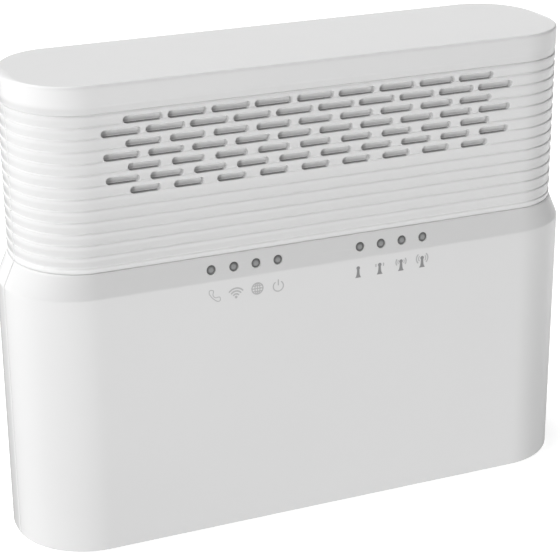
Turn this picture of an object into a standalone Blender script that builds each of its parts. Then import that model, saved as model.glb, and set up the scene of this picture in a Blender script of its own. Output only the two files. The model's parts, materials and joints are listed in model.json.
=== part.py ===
"""Upright home gateway: ribbed upper shell over a smooth lower shell, with a
sloped indicator band at the waist, a recessed socket tray at the rear and the
working parts inside.

Frame: origin under the middle of the case at the feet, +Z up, front towards -Y,
width along X, left at -X.  Lengths are millimetres; MM turns them into metres.
"""
import math

import bmesh
import bpy
from mathutils import Vector

MM = 0.001
SIDES = (-1, 1)                # signs of the left and right sides
CORNERS = {                    # signs along X and Y
    "front_left": (-1, -1), "rear_left": (-1, 1),
    "front_right": (1, -1), "rear_right": (1, 1),
}

# ---------------------------------------------------------------- case dimensions
# plan outlines: half width, half depth, corner half-axis along X and along Y
UPPER = (86.8, 22.62, 19.0, 22.4)
LOWER = (90.14, 23.66, 22.5, 22.5)
HALF_STEPS = 6                 # segments per corner: half shells, full outlines
FULL_STEPS = 7

WALL = 2.0
GAP = 0.3                      # clearance between neighbouring pieces
Z_CASE = 0.9                   # underside of the shells
Z_BAND_LOW = 80.9              # indicator band, lower edge
Z_WAIST = 88.6                 # middle of the waist parting line
Z_BAND_HIGH = Z_WAIST - GAP / 2
Z_CAP = 133.8                  # middle of the cap parting line, the first groove
Z_TOP = 142.6
Y_SEAM = -3.4                  # middle of the front/rear parting line

# main board, shared by everything mounted on it
BOARD_FRONT, BOARD_REAR = 1.2, 2.8
BOARD_HALF_X = 80.0
BOARD_Z = (5.0, 128.0)
SEAT_GAP = 0.1                 # parts stand this far off the board
FRONT_SEAT = BOARD_FRONT - SEAT_GAP
REAR_SEAT = BOARD_REAR + SEAT_GAP
BOARD_SCREW_X = 70.0
BOARD_SCREW_Z = {"lower": 14.0, "upper": 82.0}
BOARD_SCREWS = [(side * BOARD_SCREW_X, z) for z in BOARD_SCREW_Z.values() for side in SIDES]

BASE_SCREW_X, BASE_SCREW_Y = 62.0, 17.5
PILOT_R = 1.45                 # holes that the screws bite into

# ---------------------------------------------------------------- scene set-up
for old in list(bpy.data.objects):
    bpy.data.objects.remove(old, do_unlink=True)

PARTS = bpy.data.collections.new("home_gateway")
CUTTERS = bpy.data.collections.new("cutters")
bpy.context.scene.collection.children.link(PARTS)
bpy.context.scene.collection.children.link(CUTTERS)


# ---------------------------------------------------------------- materials
def material(name, rgb, roughness, metallic=0.0):
    mat = bpy.data.materials.new(name)
    mat.use_nodes = True
    inputs = mat.node_tree.nodes["Principled BSDF"].inputs
    inputs["Base Color"].default_value = (*rgb, 1.0)
    inputs["Roughness"].default_value = roughness
    inputs["Metallic"].default_value = metallic
    return mat


SHELL = {
    piece: material(piece + "_plastic", rgb=(0.82, 0.82, 0.82), roughness=0.45)
    for piece in ("cap", "vent", "case", "base", "panel")
}
BAFFLE = material("baffle_plastic", rgb=(0.7, 0.7, 0.7), roughness=0.6)
RUBBER = material("foot_rubber", rgb=(0.05, 0.05, 0.05), roughness=0.85)
STEEL = material("screw_steel", rgb=(0.62, 0.62, 0.63), roughness=0.3, metallic=1.0)
FIBRE = material("board_laminate", rgb=(0.03, 0.16, 0.08), roughness=0.5)
CLEAR = material("guide_clear", rgb=(0.42, 0.43, 0.43), roughness=0.15)
DIODE = material("diode_lens", rgb=(0.9, 0.88, 0.7), roughness=0.3)
CAN = material("can_tin", rgb=(0.7, 0.7, 0.7), roughness=0.3, metallic=1.0)
SINK = material("sink_aluminium", rgb=(0.75, 0.76, 0.78), roughness=0.35, metallic=1.0)
PAD = material("pad_silicone", rgb=(0.35, 0.5, 0.6), roughness=0.8)
BLACK = material("black_plastic", rgb=(0.02, 0.02, 0.02), roughness=0.45)
JACK = material("jack_plastic", rgb=(0.03, 0.03, 0.03), roughness=0.4)
BUTTON = material("button_plastic", rgb=(0.35, 0.36, 0.37), roughness=0.4)
FERRITE = material("transformer_body", rgb=(0.05, 0.05, 0.06), roughness=0.5)
SLEEVE = material("capacitor_sleeve", rgb=(0.05, 0.07, 0.2), roughness=0.35)
CARD = material("sim_plastic", rgb=(0.85, 0.85, 0.84), roughness=0.4)
LABEL = material("label_film", rgb=(0.9, 0.9, 0.9), roughness=0.5)
ANTENNA = material("antenna_metal", rgb=(0.8, 0.62, 0.35), roughness=0.35, metallic=1.0)
COAX = material("coax_jacket", rgb=(0.6, 0.6, 0.6), roughness=0.5)


# ---------------------------------------------------------------- objects and meshes
def new_object(name, mesh, location, rotation):
    obj = bpy.data.objects.new(name, mesh)
    obj.location = Vector(location) * MM
    obj.rotation_euler = rotation
    return obj


def add_part(name, mesh, mat, location=(0, 0, 0), rotation=(0, 0, 0)):
    obj = new_object(name, mesh, location, rotation)
    PARTS.objects.link(obj)
    mesh.materials.append(mat)
    return obj


def add_tool(name, mesh, location=(0, 0, 0), rotation=(0, 0, 0)):
    """Hidden helper that a boolean joins to a part or cuts from it."""
    obj = new_object(name, mesh, location, rotation)
    CUTTERS.objects.link(obj)
    obj.hide_render = True
    obj.display_type = "WIRE"
    return obj


def mesh_from(solid, name, smooth_angle=None):
    """Turn a bmesh into a mesh; edges sharper than smooth_angle (degrees) stay sharp."""
    bmesh.ops.recalc_face_normals(solid, faces=solid.faces[:])
    mesh = bpy.data.meshes.new(name)
    solid.to_mesh(mesh)
    solid.free()
    if smooth_angle:
        mesh.shade_smooth()
        mesh.set_sharp_from_angle(angle=math.radians(smooth_angle))
    return mesh


def make_cuboid(solid, low, high):
    verts = bmesh.ops.create_cube(solid, size=1.0)["verts"]
    size = [(end - start) * MM for start, end in zip(low, high)]
    bmesh.ops.scale(solid, vec=size, verts=verts)
    return verts


def make_cylinder(solid, radius, length, segments):
    return bmesh.ops.create_cone(
        solid, cap_ends=True, segments=segments, radius1=radius * MM, radius2=radius * MM,
        depth=length * MM)["verts"]


def box_centre(low, high):
    return [(start + end) / 2 for start, end in zip(low, high)]


def rod_span(start, end, axis):
    """Length and centre of a rod; end is the coordinate of its high end along the axis."""
    index = "XYZ".index(axis)
    length = end - start[index]
    centre = list(start)
    centre[index] += length / 2
    return length, centre


def around(x, z, half_x, half_z, y_front, y_rear):
    """Two corners of a box centred on x and z."""
    return (x - half_x, y_front, z - half_z), (x + half_x, y_rear, z + half_z)


# ---------------------------------------------------------------- basic solids
AXIS_ROTATION = {"Z": (0, 0, 0), "Y": (-math.pi / 2, 0, 0)}


def box_mesh(name, low, high, chamfer=0.0):
    solid = bmesh.new()
    make_cuboid(solid, low, high)
    if chamfer:
        bmesh.ops.bevel(solid, geom=solid.edges[:], offset=chamfer * MM, segments=1,
                        affect="EDGES")
    return mesh_from(solid, name)


def box(name, low, high, mat, chamfer=0.0):
    """Box between two corners; its origin is its centre."""
    return add_part(name, box_mesh(name, low, high, chamfer), mat, box_centre(low, high))


def box_tool(name, low, high):
    return add_tool(name, box_mesh(name, low, high), box_centre(low, high))


def rod_tool(name, radius, start, end, axis, segments=24):
    length, centre = rod_span(start, end, axis)
    solid = bmesh.new()
    make_cylinder(solid, radius, length, segments)
    return add_tool(name, mesh_from(solid, name, 40), centre, AXIS_ROTATION[axis])


def turned(name, profile, origin, axis, mat, steps=16):
    """Solid of revolution. profile: (radius, distance along the axis), far end first."""
    mesh = bpy.data.meshes.new(name)
    verts = [(radius * MM, 0.0, along * MM) for radius, along in profile]
    mesh.from_pydata(verts, [(i, i + 1) for i in range(len(verts) - 1)], [])
    obj = add_part(name, mesh, mat, origin, AXIS_ROTATION[axis])
    screw = obj.modifiers.new("turn", "SCREW")
    screw.axis = "Z"
    screw.steps = screw.render_steps = steps
    screw.use_merge_vertices = True
    screw.merge_threshold = 0.00001
    screw.use_smooth_shade = False


def profile_solid(name, points, depth, mat, location, rotation):
    """Flat closed outline given a thickness, centred on its own plane."""
    curve = bpy.data.curves.new(name, "CURVE")
    curve.dimensions = "2D"
    curve.fill_mode = "BOTH"
    curve.extrude = depth / 2 * MM
    spline = curve.splines.new("POLY")
    spline.points.add(len(points) - 1)
    for point, (x, y) in zip(spline.points, points):
        point.co = (x * MM, y * MM, 0.0, 1.0)
    spline.use_cyclic_u = True
    flat = bpy.data.objects.new(name + "_outline", curve)
    bpy.context.scene.collection.objects.link(flat)
    graph = bpy.context.evaluated_depsgraph_get()
    mesh = bpy.data.meshes.new_from_object(flat.evaluated_get(graph))
    mesh.name = name
    bpy.data.objects.remove(flat, do_unlink=True)
    # the fill and the sides come as separate sheets: weld them into one solid
    solid = bmesh.new()
    solid.from_mesh(mesh)
    bmesh.ops.remove_doubles(solid, verts=solid.verts[:], dist=0.000001)
    bmesh.ops.recalc_face_normals(solid, faces=solid.faces[:])
    solid.to_mesh(mesh)
    solid.free()
    mesh.materials.clear()
    add_part(name, mesh, mat, location, rotation)


# ---------------------------------------------------------------- booleans and their tools
def boolean(target, tool, operation):
    modifier = target.modifiers.new(tool.name, "BOOLEAN")
    modifier.operation = operation
    modifier.solver = "EXACT"
    modifier.object = tool


def join(target, tool):
    boolean(target, tool, "UNION")


def cut(target, tool):
    boolean(target, tool, "DIFFERENCE")


def merged(name, pieces):
    """Several closed shapes that don't touch, as one tool. Each piece is a builder."""
    solid = bmesh.new()
    for build in pieces:
        build(solid)
    return add_tool(name, mesh_from(solid, name))


def add_box(low, high, chamfer=0.0):
    """Builder for merged(): a box, its edges along Y chamfered."""
    def build(solid):
        verts = make_cuboid(solid, low, high)
        shift = [centre * MM for centre in box_centre(low, high)]
        bmesh.ops.translate(solid, vec=shift, verts=verts)
        if chamfer:
            edges = {edge for vert in verts for edge in vert.link_edges
                     if abs(edge.verts[0].co.y - edge.verts[1].co.y) > 1e-6}
            bmesh.ops.bevel(solid, geom=list(edges), offset=chamfer * MM, segments=1,
                            affect="EDGES")
    return build


def add_rod(radius, start, end, axis, segments):
    """Builder for merged(): a cylinder along Y or Z."""
    def build(solid):
        length, centre = rod_span(start, end, axis)
        verts = make_cylinder(solid, radius, length, segments)
        if axis == "Y":
            for vert in verts:
                vert.co = (vert.co.x, vert.co.z, -vert.co.y)
        bmesh.ops.translate(solid, vec=[along * MM for along in centre], verts=verts)
    return build


def rods_along_y(radius, places, y_front, y_rear, segments):
    """Builders for equal cylinders along Y at several (x, z) places."""
    return [add_rod(radius, (x, y_front, z), y_rear, "Y", segments) for x, z in places]


# ---------------------------------------------------------------- outlines and shells
def corner_point(shape, inset, angle, sign_x, sign_y):
    """Point of an elliptical corner, angle from the end of the case (0) to its side."""
    half_x, half_y, axis_x, axis_y = shape
    return (sign_x * (half_x - axis_x + (axis_x - inset) * math.cos(angle)),
            sign_y * (half_y - axis_y + (axis_y - inset) * math.sin(angle)))


def half_outline(shape, inset, rear):
    """Plan outline of the front or rear half, from the right end round to the left end."""
    _, half_y, _, axis_y = shape
    y_cut = Y_SEAM + GAP / 2 if rear else Y_SEAM - GAP / 2
    start = math.asin((-y_cut - (half_y - axis_y)) / (axis_y - inset))
    if rear:
        right = [corner_point(shape, inset, angle, 1, -1) for angle in (start, 0.0)]
        right += [corner_point(shape, inset, math.pi / 2 * i / HALF_STEPS, 1, 1)
                  for i in range(HALF_STEPS + 1)]
    else:
        right = [corner_point(shape, inset, start + (math.pi / 2 - start) * i / HALF_STEPS, 1, -1)
                 for i in range(HALF_STEPS + 1)]
    return right + [(-x, y) for x, y in reversed(right)]


def corner_angles():
    """Signs and angles of the four corners, anticlockwise from the right end."""
    for sign_x, sign_y, back in ((1, 1, False), (-1, 1, True), (-1, -1, False), (1, -1, True)):
        for i in range(FULL_STEPS + 1):
            step = FULL_STEPS - i if back else i
            yield sign_x, sign_y, math.pi / 2 * step / FULL_STEPS


def full_outline(shape, inset):
    return [corner_point(shape, inset, angle, sign_x, sign_y)
            for sign_x, sign_y, angle in corner_angles()]


def skin(solid, rings, closed):
    """Quads between neighbouring rings; closed also joins each ring's last point to its first."""
    for low, high in rings:
        count = len(low)
        for i in range(count if closed else count - 1):
            following = (i + 1) % count
            solid.faces.new((low[i], low[following], high[following], high[i]))


def half_shell(name, section, rear, mat):
    """Wall swept round half the outline. section: (shape, inset, height) round the wall."""
    solid = bmesh.new()
    rings = [[solid.verts.new((x * MM, y * MM, z * MM))
              for x, y in half_outline(shape, inset, rear)] for shape, inset, z in section]
    skin(solid, zip(rings, rings[1:] + rings[:1]), closed=False)
    solid.faces.new([ring[0] for ring in rings])
    solid.faces.new([ring[-1] for ring in reversed(rings)])
    return add_part(name, mesh_from(solid, name, 35), mat)


def lid_shell(name, outlines, mat):
    """Closed loft through (outline, height) pairs; the first and last outlines are filled."""
    solid = bmesh.new()
    rings = [[solid.verts.new((x * MM, y * MM, z * MM)) for x, y in outline]
             for outline, z in outlines]
    skin(solid, zip(rings[:-1], rings[1:]), closed=True)
    solid.faces.new(rings[0])
    solid.faces.new(list(reversed(rings[-1])))
    return add_part(name, mesh_from(solid, name, 35), mat)


# ---------------------------------------------------------------- ribbed upper shells
PITCH = 3.4                    # rib height, also the slot row spacing
RIBS = 13
RIB_DEPTH = 0.36
ROLL_START, ROLL_END = 0.2, 0.92   # part of a rib that rolls inwards, from its upper edge
RIB_TOP, RIB_MIDDLE = 0.08, 0.56   # the other modelled heights, as parts of a rib
LIP_H = 2.0                    # inner lips at the waist and under the cap
LIP_INNER = WALL + GAP + 1.5   # inset of their inner face

SLOT_H = 2.05
SLOT_CHAMFER = 0.35 * SLOT_H
SLOT_X = 12.945                # slot spacing along a row
SLOT_SHIFT = -0.93             # the slot pattern sits a little off the middle
SLOT_LENGTHS = (11.6, 11.6, 10.7, 10.7, 9.9, 9.9, 9.0)   # one per row, top row first
Z_SLOT_TOP = Z_CAP - 0.57 * PITCH
FRONT_ROWS, REAR_ROWS = len(SLOT_LENGTHS), 3
SLOT_CUT = (20.0, 24.0)        # distance of the slot cutters' faces from the middle plane

PEG_R = 1.2                    # pegs that carry the baffle
PEGS = [(side * 61.5, z) for z in (132.1, 107.5) for side in SIDES]
BAFFLE_HALF_X = 66.0
BAFFLE_Z = (104.0, 132.8)
BAFFLE_T = 1.5
BAFFLE_FRONT = -(UPPER[1] - WALL - GAP)


def rib_inset(part):
    """How far a rib has rolled inwards, part = 0 at its upper edge and 1 at the next rib."""
    return RIB_DEPTH * max(0.0, (part - ROLL_START) / (ROLL_END - ROLL_START)) ** 2


def vent_section():
    z_low = Z_WAIST + GAP / 2
    z_high = Z_CAP - GAP / 2
    outer = [(0.05, z_high)]
    for rib in range(RIBS):
        for part in (RIB_TOP, RIB_MIDDLE, ROLL_END):
            outer.append((rib_inset(part), Z_CAP - PITCH * (rib + part)))
    outer += [(0.0, z_low + 0.42), (0.0, z_low)]
    inner = [
        (WALL + GAP, z_low), (WALL + GAP, z_low - LIP_H),
        (LIP_INNER, z_low - LIP_H), (LIP_INNER, z_low + 1.5),
        (WALL, z_low + 2.5), (WALL, Z_CAP - 0.7),
        (LIP_INNER, Z_CAP - 0.7), (LIP_INNER, z_high + LIP_H),
        (WALL + GAP, z_high + LIP_H), (WALL + GAP, z_high),
    ]
    return [(UPPER, inset, z) for inset, z in outer + inner]


def vent_slots(rows, y_front, y_rear):
    """Slot builders; the rows alternate between nine and ten slots."""
    pieces = []
    for row in range(rows):
        z = Z_SLOT_TOP - PITCH * row
        count = 9 if row % 2 == 0 else 10
        for i in range(count):
            x = SLOT_SHIFT + (i - (count - 1) / 2) * SLOT_X
            corners = around(x, z, SLOT_LENGTHS[row] / 2, SLOT_H / 2, y_front, y_rear)
            pieces.append(add_box(*corners, SLOT_CHAMFER))
    return pieces


def vent_covers():
    near, far = SLOT_CUT
    front = half_shell("vent_cover_front", vent_section(), False, SHELL["vent"])
    join(front, merged("baffle_pegs", rods_along_y(PEG_R, PEGS, -21.5, -17.8, 12)))
    cut(front, merged("front_slot_cutter", vent_slots(FRONT_ROWS, -far, -near)))
    rear = half_shell("vent_cover_rear", vent_section(), True, SHELL["vent"])
    cut(rear, merged("rear_slot_cutter", vent_slots(REAR_ROWS, near, far)))


def vent_baffle():
    baffle = box("vent_baffle", (-BAFFLE_HALF_X, BAFFLE_FRONT, BAFFLE_Z[0]),
                 (BAFFLE_HALF_X, BAFFLE_FRONT + BAFFLE_T, BAFFLE_Z[1]), BAFFLE)
    cut(baffle, merged("baffle_holes", rods_along_y(PEG_R + 0.25, PEGS, -22.0, -17.0, 12)))


# ---------------------------------------------------------------- top cap
EDGE_H = 1.2                   # height of the top edge's rounding
EDGE_W, EDGE_W_END = 0.35, 2.8     # its width along the sides, and the extra at the ends
EDGE_SPREAD = math.radians(22)     # how far round the corner the extra width reaches
EDGE_FALLOFF = 1.6             # how abruptly it fades
EDGE_STEPS = 4


def cap_edge_outline(share):
    """Outline drawn in by a share of the top edge's rounding, wider towards the ends."""
    _, _, axis_x, axis_y = UPPER
    points = []
    for sign_x, sign_y, angle in corner_angles():
        x, y = corner_point(UPPER, 0.0, angle, sign_x, sign_y)
        extra = EDGE_W_END * math.exp(-(angle / EDGE_SPREAD) ** EDGE_FALLOFF)
        width = (EDGE_W + extra) * share
        normal_x = math.cos(angle) / axis_x
        normal_y = math.sin(angle) / axis_y
        size = math.hypot(normal_x, normal_y)
        points.append((x - sign_x * width * normal_x / size, y - sign_y * width * normal_y / size))
    return points


def top_cap():
    """Rounded top edge, the side down to the parting groove, then the hollow underside."""
    outlines = []
    for step in range(EDGE_STEPS + 1):
        angle = step / EDGE_STEPS * math.pi / 2
        outlines.append((cap_edge_outline(1 - math.sin(angle)),
                         Z_TOP - EDGE_H * (1 - math.cos(angle))))
    stations = (               # inset, height
        (0.0, Z_CAP + PITCH * (1 - ROLL_START)),
        (rib_inset(RIB_MIDDLE), Z_CAP + PITCH * (1 - RIB_MIDDLE)),
        (rib_inset(0.95), Z_CAP + GAP / 2),
        (WALL, Z_CAP + GAP / 2),
        (WALL, Z_TOP - 2.6),
        (WALL + 1.5, Z_TOP - 2.2),
    )
    outlines += [(full_outline(UPPER, inset), z) for inset, z in stations]
    lid_shell("top_cap", outlines, SHELL["cap"])


# ---------------------------------------------------------------- lower shells
LED_X = (13.2, 20.1, 27.0, 34.0)   # indicators, mirrored on both sides
LED_Z = 84.35
WINDOW_R = 1.3

BASE_Z = (1.3, 3.6)            # base plate, underside and top
BOSS_HALF_X = 3.0
BOSS_Y = (14.4, 22.4)          # distance from the middle plane
BOSS_TOP = 15.0
BORE_Z = (3.0, 13.0)
BOARD_BOSS_R = 3.0

BAY_HALF_X = 52.0              # rear opening for the socket panel
BAY_Z = (10.0, 38.0)

LABEL_HALF_X, LABEL_HALF_Z, LABEL_Z = 30.0, 12.0, 58.0
LABEL_T = 0.2
LABEL_FLOOR = LOWER[1] - 0.4   # floor of the label's recess

SIM_Y, SIM_Z = 4.8, 58.5
SIM_LENGTH, SIM_WIDTH, SIM_T = 25.0, 15.0, 0.8
SIM_SLOT_GAP = 0.4             # clearance round the card in the case
NOTCH_R, NOTCH_X, NOTCH_HALF_Z = 6.0, 94.9, 4.0


def cover_section():
    return [
        (LOWER, 1.2, Z_CASE), (LOWER, 0.35, Z_CASE + 0.35), (LOWER, 0.0, Z_CASE + 1.2),
        (LOWER, 0.0, Z_BAND_LOW - 0.6), (LOWER, 0.03, Z_BAND_LOW), (UPPER, 0.0, Z_BAND_HIGH),
        (UPPER, WALL, Z_BAND_HIGH), (LOWER, WALL, Z_BAND_LOW - 0.6), (LOWER, WALL, Z_CASE),
    ]


def base_bosses(sign_y):
    """Blocks above the base plate that take the base screws, at the front or the rear."""
    y_front, y_rear = sorted(sign_y * y for y in BOSS_Y)
    return [add_box((side * BASE_SCREW_X - BOSS_HALF_X, y_front, BASE_Z[1] + GAP),
                    (side * BASE_SCREW_X + BOSS_HALF_X, y_rear, BOSS_TOP)) for side in SIDES]


def base_bores(sign_y):
    return [add_rod(PILOT_R, (side * BASE_SCREW_X, sign_y * BASE_SCREW_Y, BORE_Z[0]),
                    BORE_Z[1], "Z", 12) for side in SIDES]


def front_cover():
    cover = half_shell("front_cover", cover_section(), False, SHELL["case"])
    join(cover, merged("front_bosses", base_bosses(-1)))
    cut(cover, merged("front_boss_bores", base_bores(-1)))
    windows = [(side * x, LED_Z) for x in LED_X for side in SIDES]
    cut(cover, merged("window_holes", rods_along_y(WINDOW_R + 0.2, windows, -26.0, -18.0, 16)))


def rear_cover():
    cover = half_shell("rear_cover", cover_section(), True, SHELL["case"])
    join(cover, merged("rear_bosses", base_bosses(1) + rods_along_y(
        BOARD_BOSS_R, BOARD_SCREWS, BOARD_REAR + GAP, 22.0, 16)))
    bay = add_box((-BAY_HALF_X, 19.0, BAY_Z[0]), (BAY_HALF_X, 26.0, BAY_Z[1]))
    label_recess = add_box(*around(0.0, LABEL_Z, LABEL_HALF_X + GAP, LABEL_HALF_Z + GAP,
                                   LABEL_FLOOR, 26.0))
    half_y = SIM_T / 2 + SIM_SLOT_GAP
    half_z = SIM_WIDTH / 2 + SIM_SLOT_GAP
    sim_slot = add_box((80.0, SIM_Y - half_y, SIM_Z - half_z),
                       (94.0, SIM_Y + half_y, SIM_Z + half_z))
    cut(cover, merged("rear_openings",
                      base_bores(1) + rods_along_y(PILOT_R, BOARD_SCREWS, 0.0, 11.0, 12)
                      + [bay, label_recess, sim_slot]))
    cut(cover, rod_tool("finger_notch", NOTCH_R, (NOTCH_X, SIM_Y, SIM_Z - NOTCH_HALF_Z),
                        SIM_Z + NOTCH_HALF_Z, "Z"))


# ---------------------------------------------------------------- base plate, feet, base screws
FOOT_X, FOOT_Y = 72.0, 13.0
FOOT_R = 5.0
FOOT_PROFILE = [(0, 1.8), (FOOT_R, 1.8), (FOOT_R, 0.4), (4.6, 0.0), (0, 0.0)]
BASE_HEAD_R = 2.7              # head of a base screw
BASE_SCREW_PROFILE = [
    (0, 12.0), (0.7, 12.0), (1.3, 10.8), (1.3, 2.6),
    (BASE_HEAD_R, 2.6), (BASE_HEAD_R, 1.9), (2.1, 1.5), (0, 1.5),
]
CUT_LOW = 0.5                  # cutters start here, below the plate
BASE_SLOT_HALF_X, BASE_SLOT_HALF_Y = 7.0, 1.0
BASE_SLOT_X = [-45 + 18 * i for i in range(6)]
BASE_SLOT_ROWS = (-5.0, 5.0)


def corner_rods(radius, x, y, z_low, z_high, segments):
    """Builders for upright cylinders at the same place in each corner."""
    return [add_rod(radius, (sign_x * x, sign_y * y, z_low), z_high, "Z", segments)
            for sign_x, sign_y in CORNERS.values()]


def base_plate():
    plate = lid_shell("base_plate", [(full_outline(LOWER, WALL + GAP), z) for z in BASE_Z],
                      SHELL["base"])
    slots = [add_box((x - BASE_SLOT_HALF_X, y - BASE_SLOT_HALF_Y, CUT_LOW),
                     (x + BASE_SLOT_HALF_X, y + BASE_SLOT_HALF_Y, 4.5))
             for y in BASE_SLOT_ROWS for x in BASE_SLOT_X]
    cut(plate, merged("base_plate_cuts",
                      corner_rods(FOOT_R + GAP, FOOT_X, FOOT_Y, CUT_LOW, 1.9, 16)
                      + corner_rods(BASE_HEAD_R + GAP, BASE_SCREW_X, BASE_SCREW_Y,
                                    CUT_LOW, 2.7, 12)
                      + slots))
    cut(plate, merged("base_screw_holes",
                      corner_rods(1.6, BASE_SCREW_X, BASE_SCREW_Y, 2.0, 4.5, 10)))


def feet_and_base_screws():
    for corner, (sign_x, sign_y) in CORNERS.items():
        turned("foot_" + corner, FOOT_PROFILE, (sign_x * FOOT_X, sign_y * FOOT_Y, 0.0),
               "Z", RUBBER)
        turned("base_screw_" + corner, BASE_SCREW_PROFILE,
               (sign_x * BASE_SCREW_X, sign_y * BASE_SCREW_Y, 0.0), "Z", STEEL, steps=10)


# ---------------------------------------------------------------- main board and its screws
BOARD_SCREW_PROFILE = [
    (0, 10.0), (0.7, 10.0), (1.3, 8.8), (1.3, 1.1), (2.6, 1.1), (2.6, -0.1), (1.8, -0.6), (0, -0.6),
]


def main_board():
    board = box("main_board", (-BOARD_HALF_X, BOARD_FRONT, BOARD_Z[0]),
                (BOARD_HALF_X, BOARD_REAR, BOARD_Z[1]), FIBRE)
    cut(board, merged("board_screw_holes", rods_along_y(1.7, BOARD_SCREWS, 0.0, 4.0, 10)))


def board_screws():
    for level, z in BOARD_SCREW_Z.items():
        for side_name, side in (("left", -1), ("right", 1)):
            turned("board_screw_%s_%s" % (level, side_name), BOARD_SCREW_PROFILE,
                   (side * BOARD_SCREW_X, 0.0, z), "Y", STEEL, steps=10)


# ---------------------------------------------------------------- indicators and light guides
GUIDE_Y = (-7.0, -4.6)         # bar that links the prongs
GUIDE_HALF_Z = 1.2
GUIDE_OVERHANG = 1.9           # bar beyond the outermost prong axes
PRONG_FRONT = -23.5
DIODE_HALF_X, DIODE_HALF_Z = 1.0, 0.7
DIODE_FRONT = 0.3


def band_y(z):
    """Front surface of the sloped indicator band at height z."""
    share = (z - Z_BAND_LOW) / (Z_BAND_HIGH - Z_BAND_LOW)
    return -(LOWER[1] + (UPPER[1] - LOWER[1]) * share)


def indicators(side_name, side, first_number):
    places = sorted(side * x for x in LED_X)
    bar = box("light_guide_" + side_name,
              (places[0] - GUIDE_OVERHANG, GUIDE_Y[0], LED_Z - GUIDE_HALF_Z),
              (places[-1] + GUIDE_OVERHANG, GUIDE_Y[1], LED_Z + GUIDE_HALF_Z), CLEAR)
    prongs = merged("guide_prongs_" + side_name, rods_along_y(
        WINDOW_R, [(x, LED_Z) for x in places], PRONG_FRONT, 0.0, 12))
    # each window end follows the slope of the band, just below its surface
    for vert in prongs.data.vertices:
        if vert.co.y < PRONG_FRONT / 2 * MM:
            vert.co.y = (band_y(vert.co.z / MM) + 0.1) * MM
    join(bar, prongs)
    for number, x in enumerate(places, first_number):
        box("indicator_diode_%d" % number,
            *around(x, LED_Z, DIODE_HALF_X, DIODE_HALF_Z, DIODE_FRONT, FRONT_SEAT), DIODE)


# ---------------------------------------------------------------- shielding and cooling
CAN_WALL = 0.3
CANS = (                       # name, left, right, bottom, top, front face
    ("cellular", -66.0, -34.0, 40.0, 72.0, -2.2),
    ("processor", -24.0, 8.0, 38.0, 70.0, -2.0),
    ("wireless", 20.0, 48.0, 42.0, 68.0, -2.2),
)
SINK_X, SINK_Z = -8.0, 54.0    # centre of the heat sink and its pad
SINK_SIZE = 28.0               # both are square
PAD_Y = (-3.1, -2.1)
SINK_REAR = -3.2
FINS = 8
FIN_T, FIN_ROOT, FIN_TIP = 1.2, 2.0, 10.5   # thickness, then root and tip from the rear face


def shield_can(name, left, right, bottom, top, y_front):
    can = box(name, (left, y_front, bottom), (right, FRONT_SEAT, top), CAN)
    cut(can, box_tool(name + "_hollow",
                      (left + CAN_WALL, y_front + CAN_WALL, bottom + CAN_WALL),
                      (right - CAN_WALL, 2.0, top - CAN_WALL)))


def thermal_pad():
    box("thermal_pad", *around(SINK_X, SINK_Z, SINK_SIZE / 2, SINK_SIZE / 2, *PAD_Y), PAD)


def heat_sink():
    """Comb outline in plan with its fins towards the front."""
    half = SINK_SIZE / 2
    fins = []
    for i in range(FINS):
        x = -half + i * (SINK_SIZE - FIN_T) / (FINS - 1)
        fins += [(x, -FIN_ROOT), (x, -FIN_TIP), (x + FIN_T, -FIN_TIP), (x + FIN_T, -FIN_ROOT)]
    # the outer fins are flush with the base, so their outer root points are left out
    outline = [(-half, 0.0)] + fins[1:-1] + [(half, 0.0)]
    profile_solid("heat_sink", outline, SINK_SIZE, SINK, (SINK_X, SINK_REAR, SINK_Z), (0, 0, 0))


# ---------------------------------------------------------------- sockets
PORT_Z = 24.0                  # centre line of all sockets and buttons
LAN_X, PHONE_X, DC_X = (13.0, -5.0), -21.5, 43.0
LAN_HALF_X, PHONE_HALF_X, PLUG_HALF_Z = 8.2, 6.75, 7.0
DC_HALF_X, DC_HALF_Z = 4.5, 5.5
SOCKET_REAR = 17.5
MOUTH_DEPTH = 12.0
# plug openings: a rectangle with latch notches stepping down below it
# half width, top and bottom of each step, measured from the port centre line
LAN_MOUTH = ((5.95, 4.4, -2.6), (3.1, -1.0, -4.2), (1.7, -2.0, -5.6))
PHONE_MOUTH = ((4.9, 4.4, -2.4), (3.0, -1.0, -4.0), (1.6, -2.0, -5.2))


def plug_socket(name, x, half_x, mouth):
    jack = box(name, *around(x, PORT_Z, half_x, PLUG_HALF_Z, REAR_SEAT, SOCKET_REAR), JACK)
    for i, (half_width, top, bottom) in enumerate(mouth):
        # staggered ends keep the steps' end faces off one plane
        cut(jack, box_tool("%s_mouth_%d" % (name, i),
                           (x - half_width, SOCKET_REAR - MOUTH_DEPTH + 0.4 * i, PORT_Z + bottom),
                           (x + half_width, 19.0 + 0.5 * i, PORT_Z + top)))


def power_socket():
    socket = box("power_socket",
                 *around(DC_X, PORT_Z, DC_HALF_X, DC_HALF_Z, REAR_SEAT, SOCKET_REAR), JACK)
    cut(socket, rod_tool("power_socket_bore", 3.2, (DC_X, 8.0, PORT_Z), 19.0, "Y"))
    join(socket, rod_tool("power_socket_pin", 1.0, (DC_X, 6.0, PORT_Z), 16.0, "Y", segments=16))


# ---------------------------------------------------------------- switches and their buttons
POWER_X, PAIR_X, RESET_X = 30.0, -40.0, -32.0
SWITCHES = (                   # name, x, half size, rear face, bore radius, bore floor
    ("power_switch", POWER_X, 5.0, 11.8, 1.9, 8.4),
    ("pairing_switch", PAIR_X, 3.0, 7.9, 1.4, 6.4),
    ("reset_switch", RESET_X, 2.6, 7.9, 1.2, 6.6),
)
POWER_BUTTON_R, PAIR_BUTTON_R = 4.2, 2.8
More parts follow.
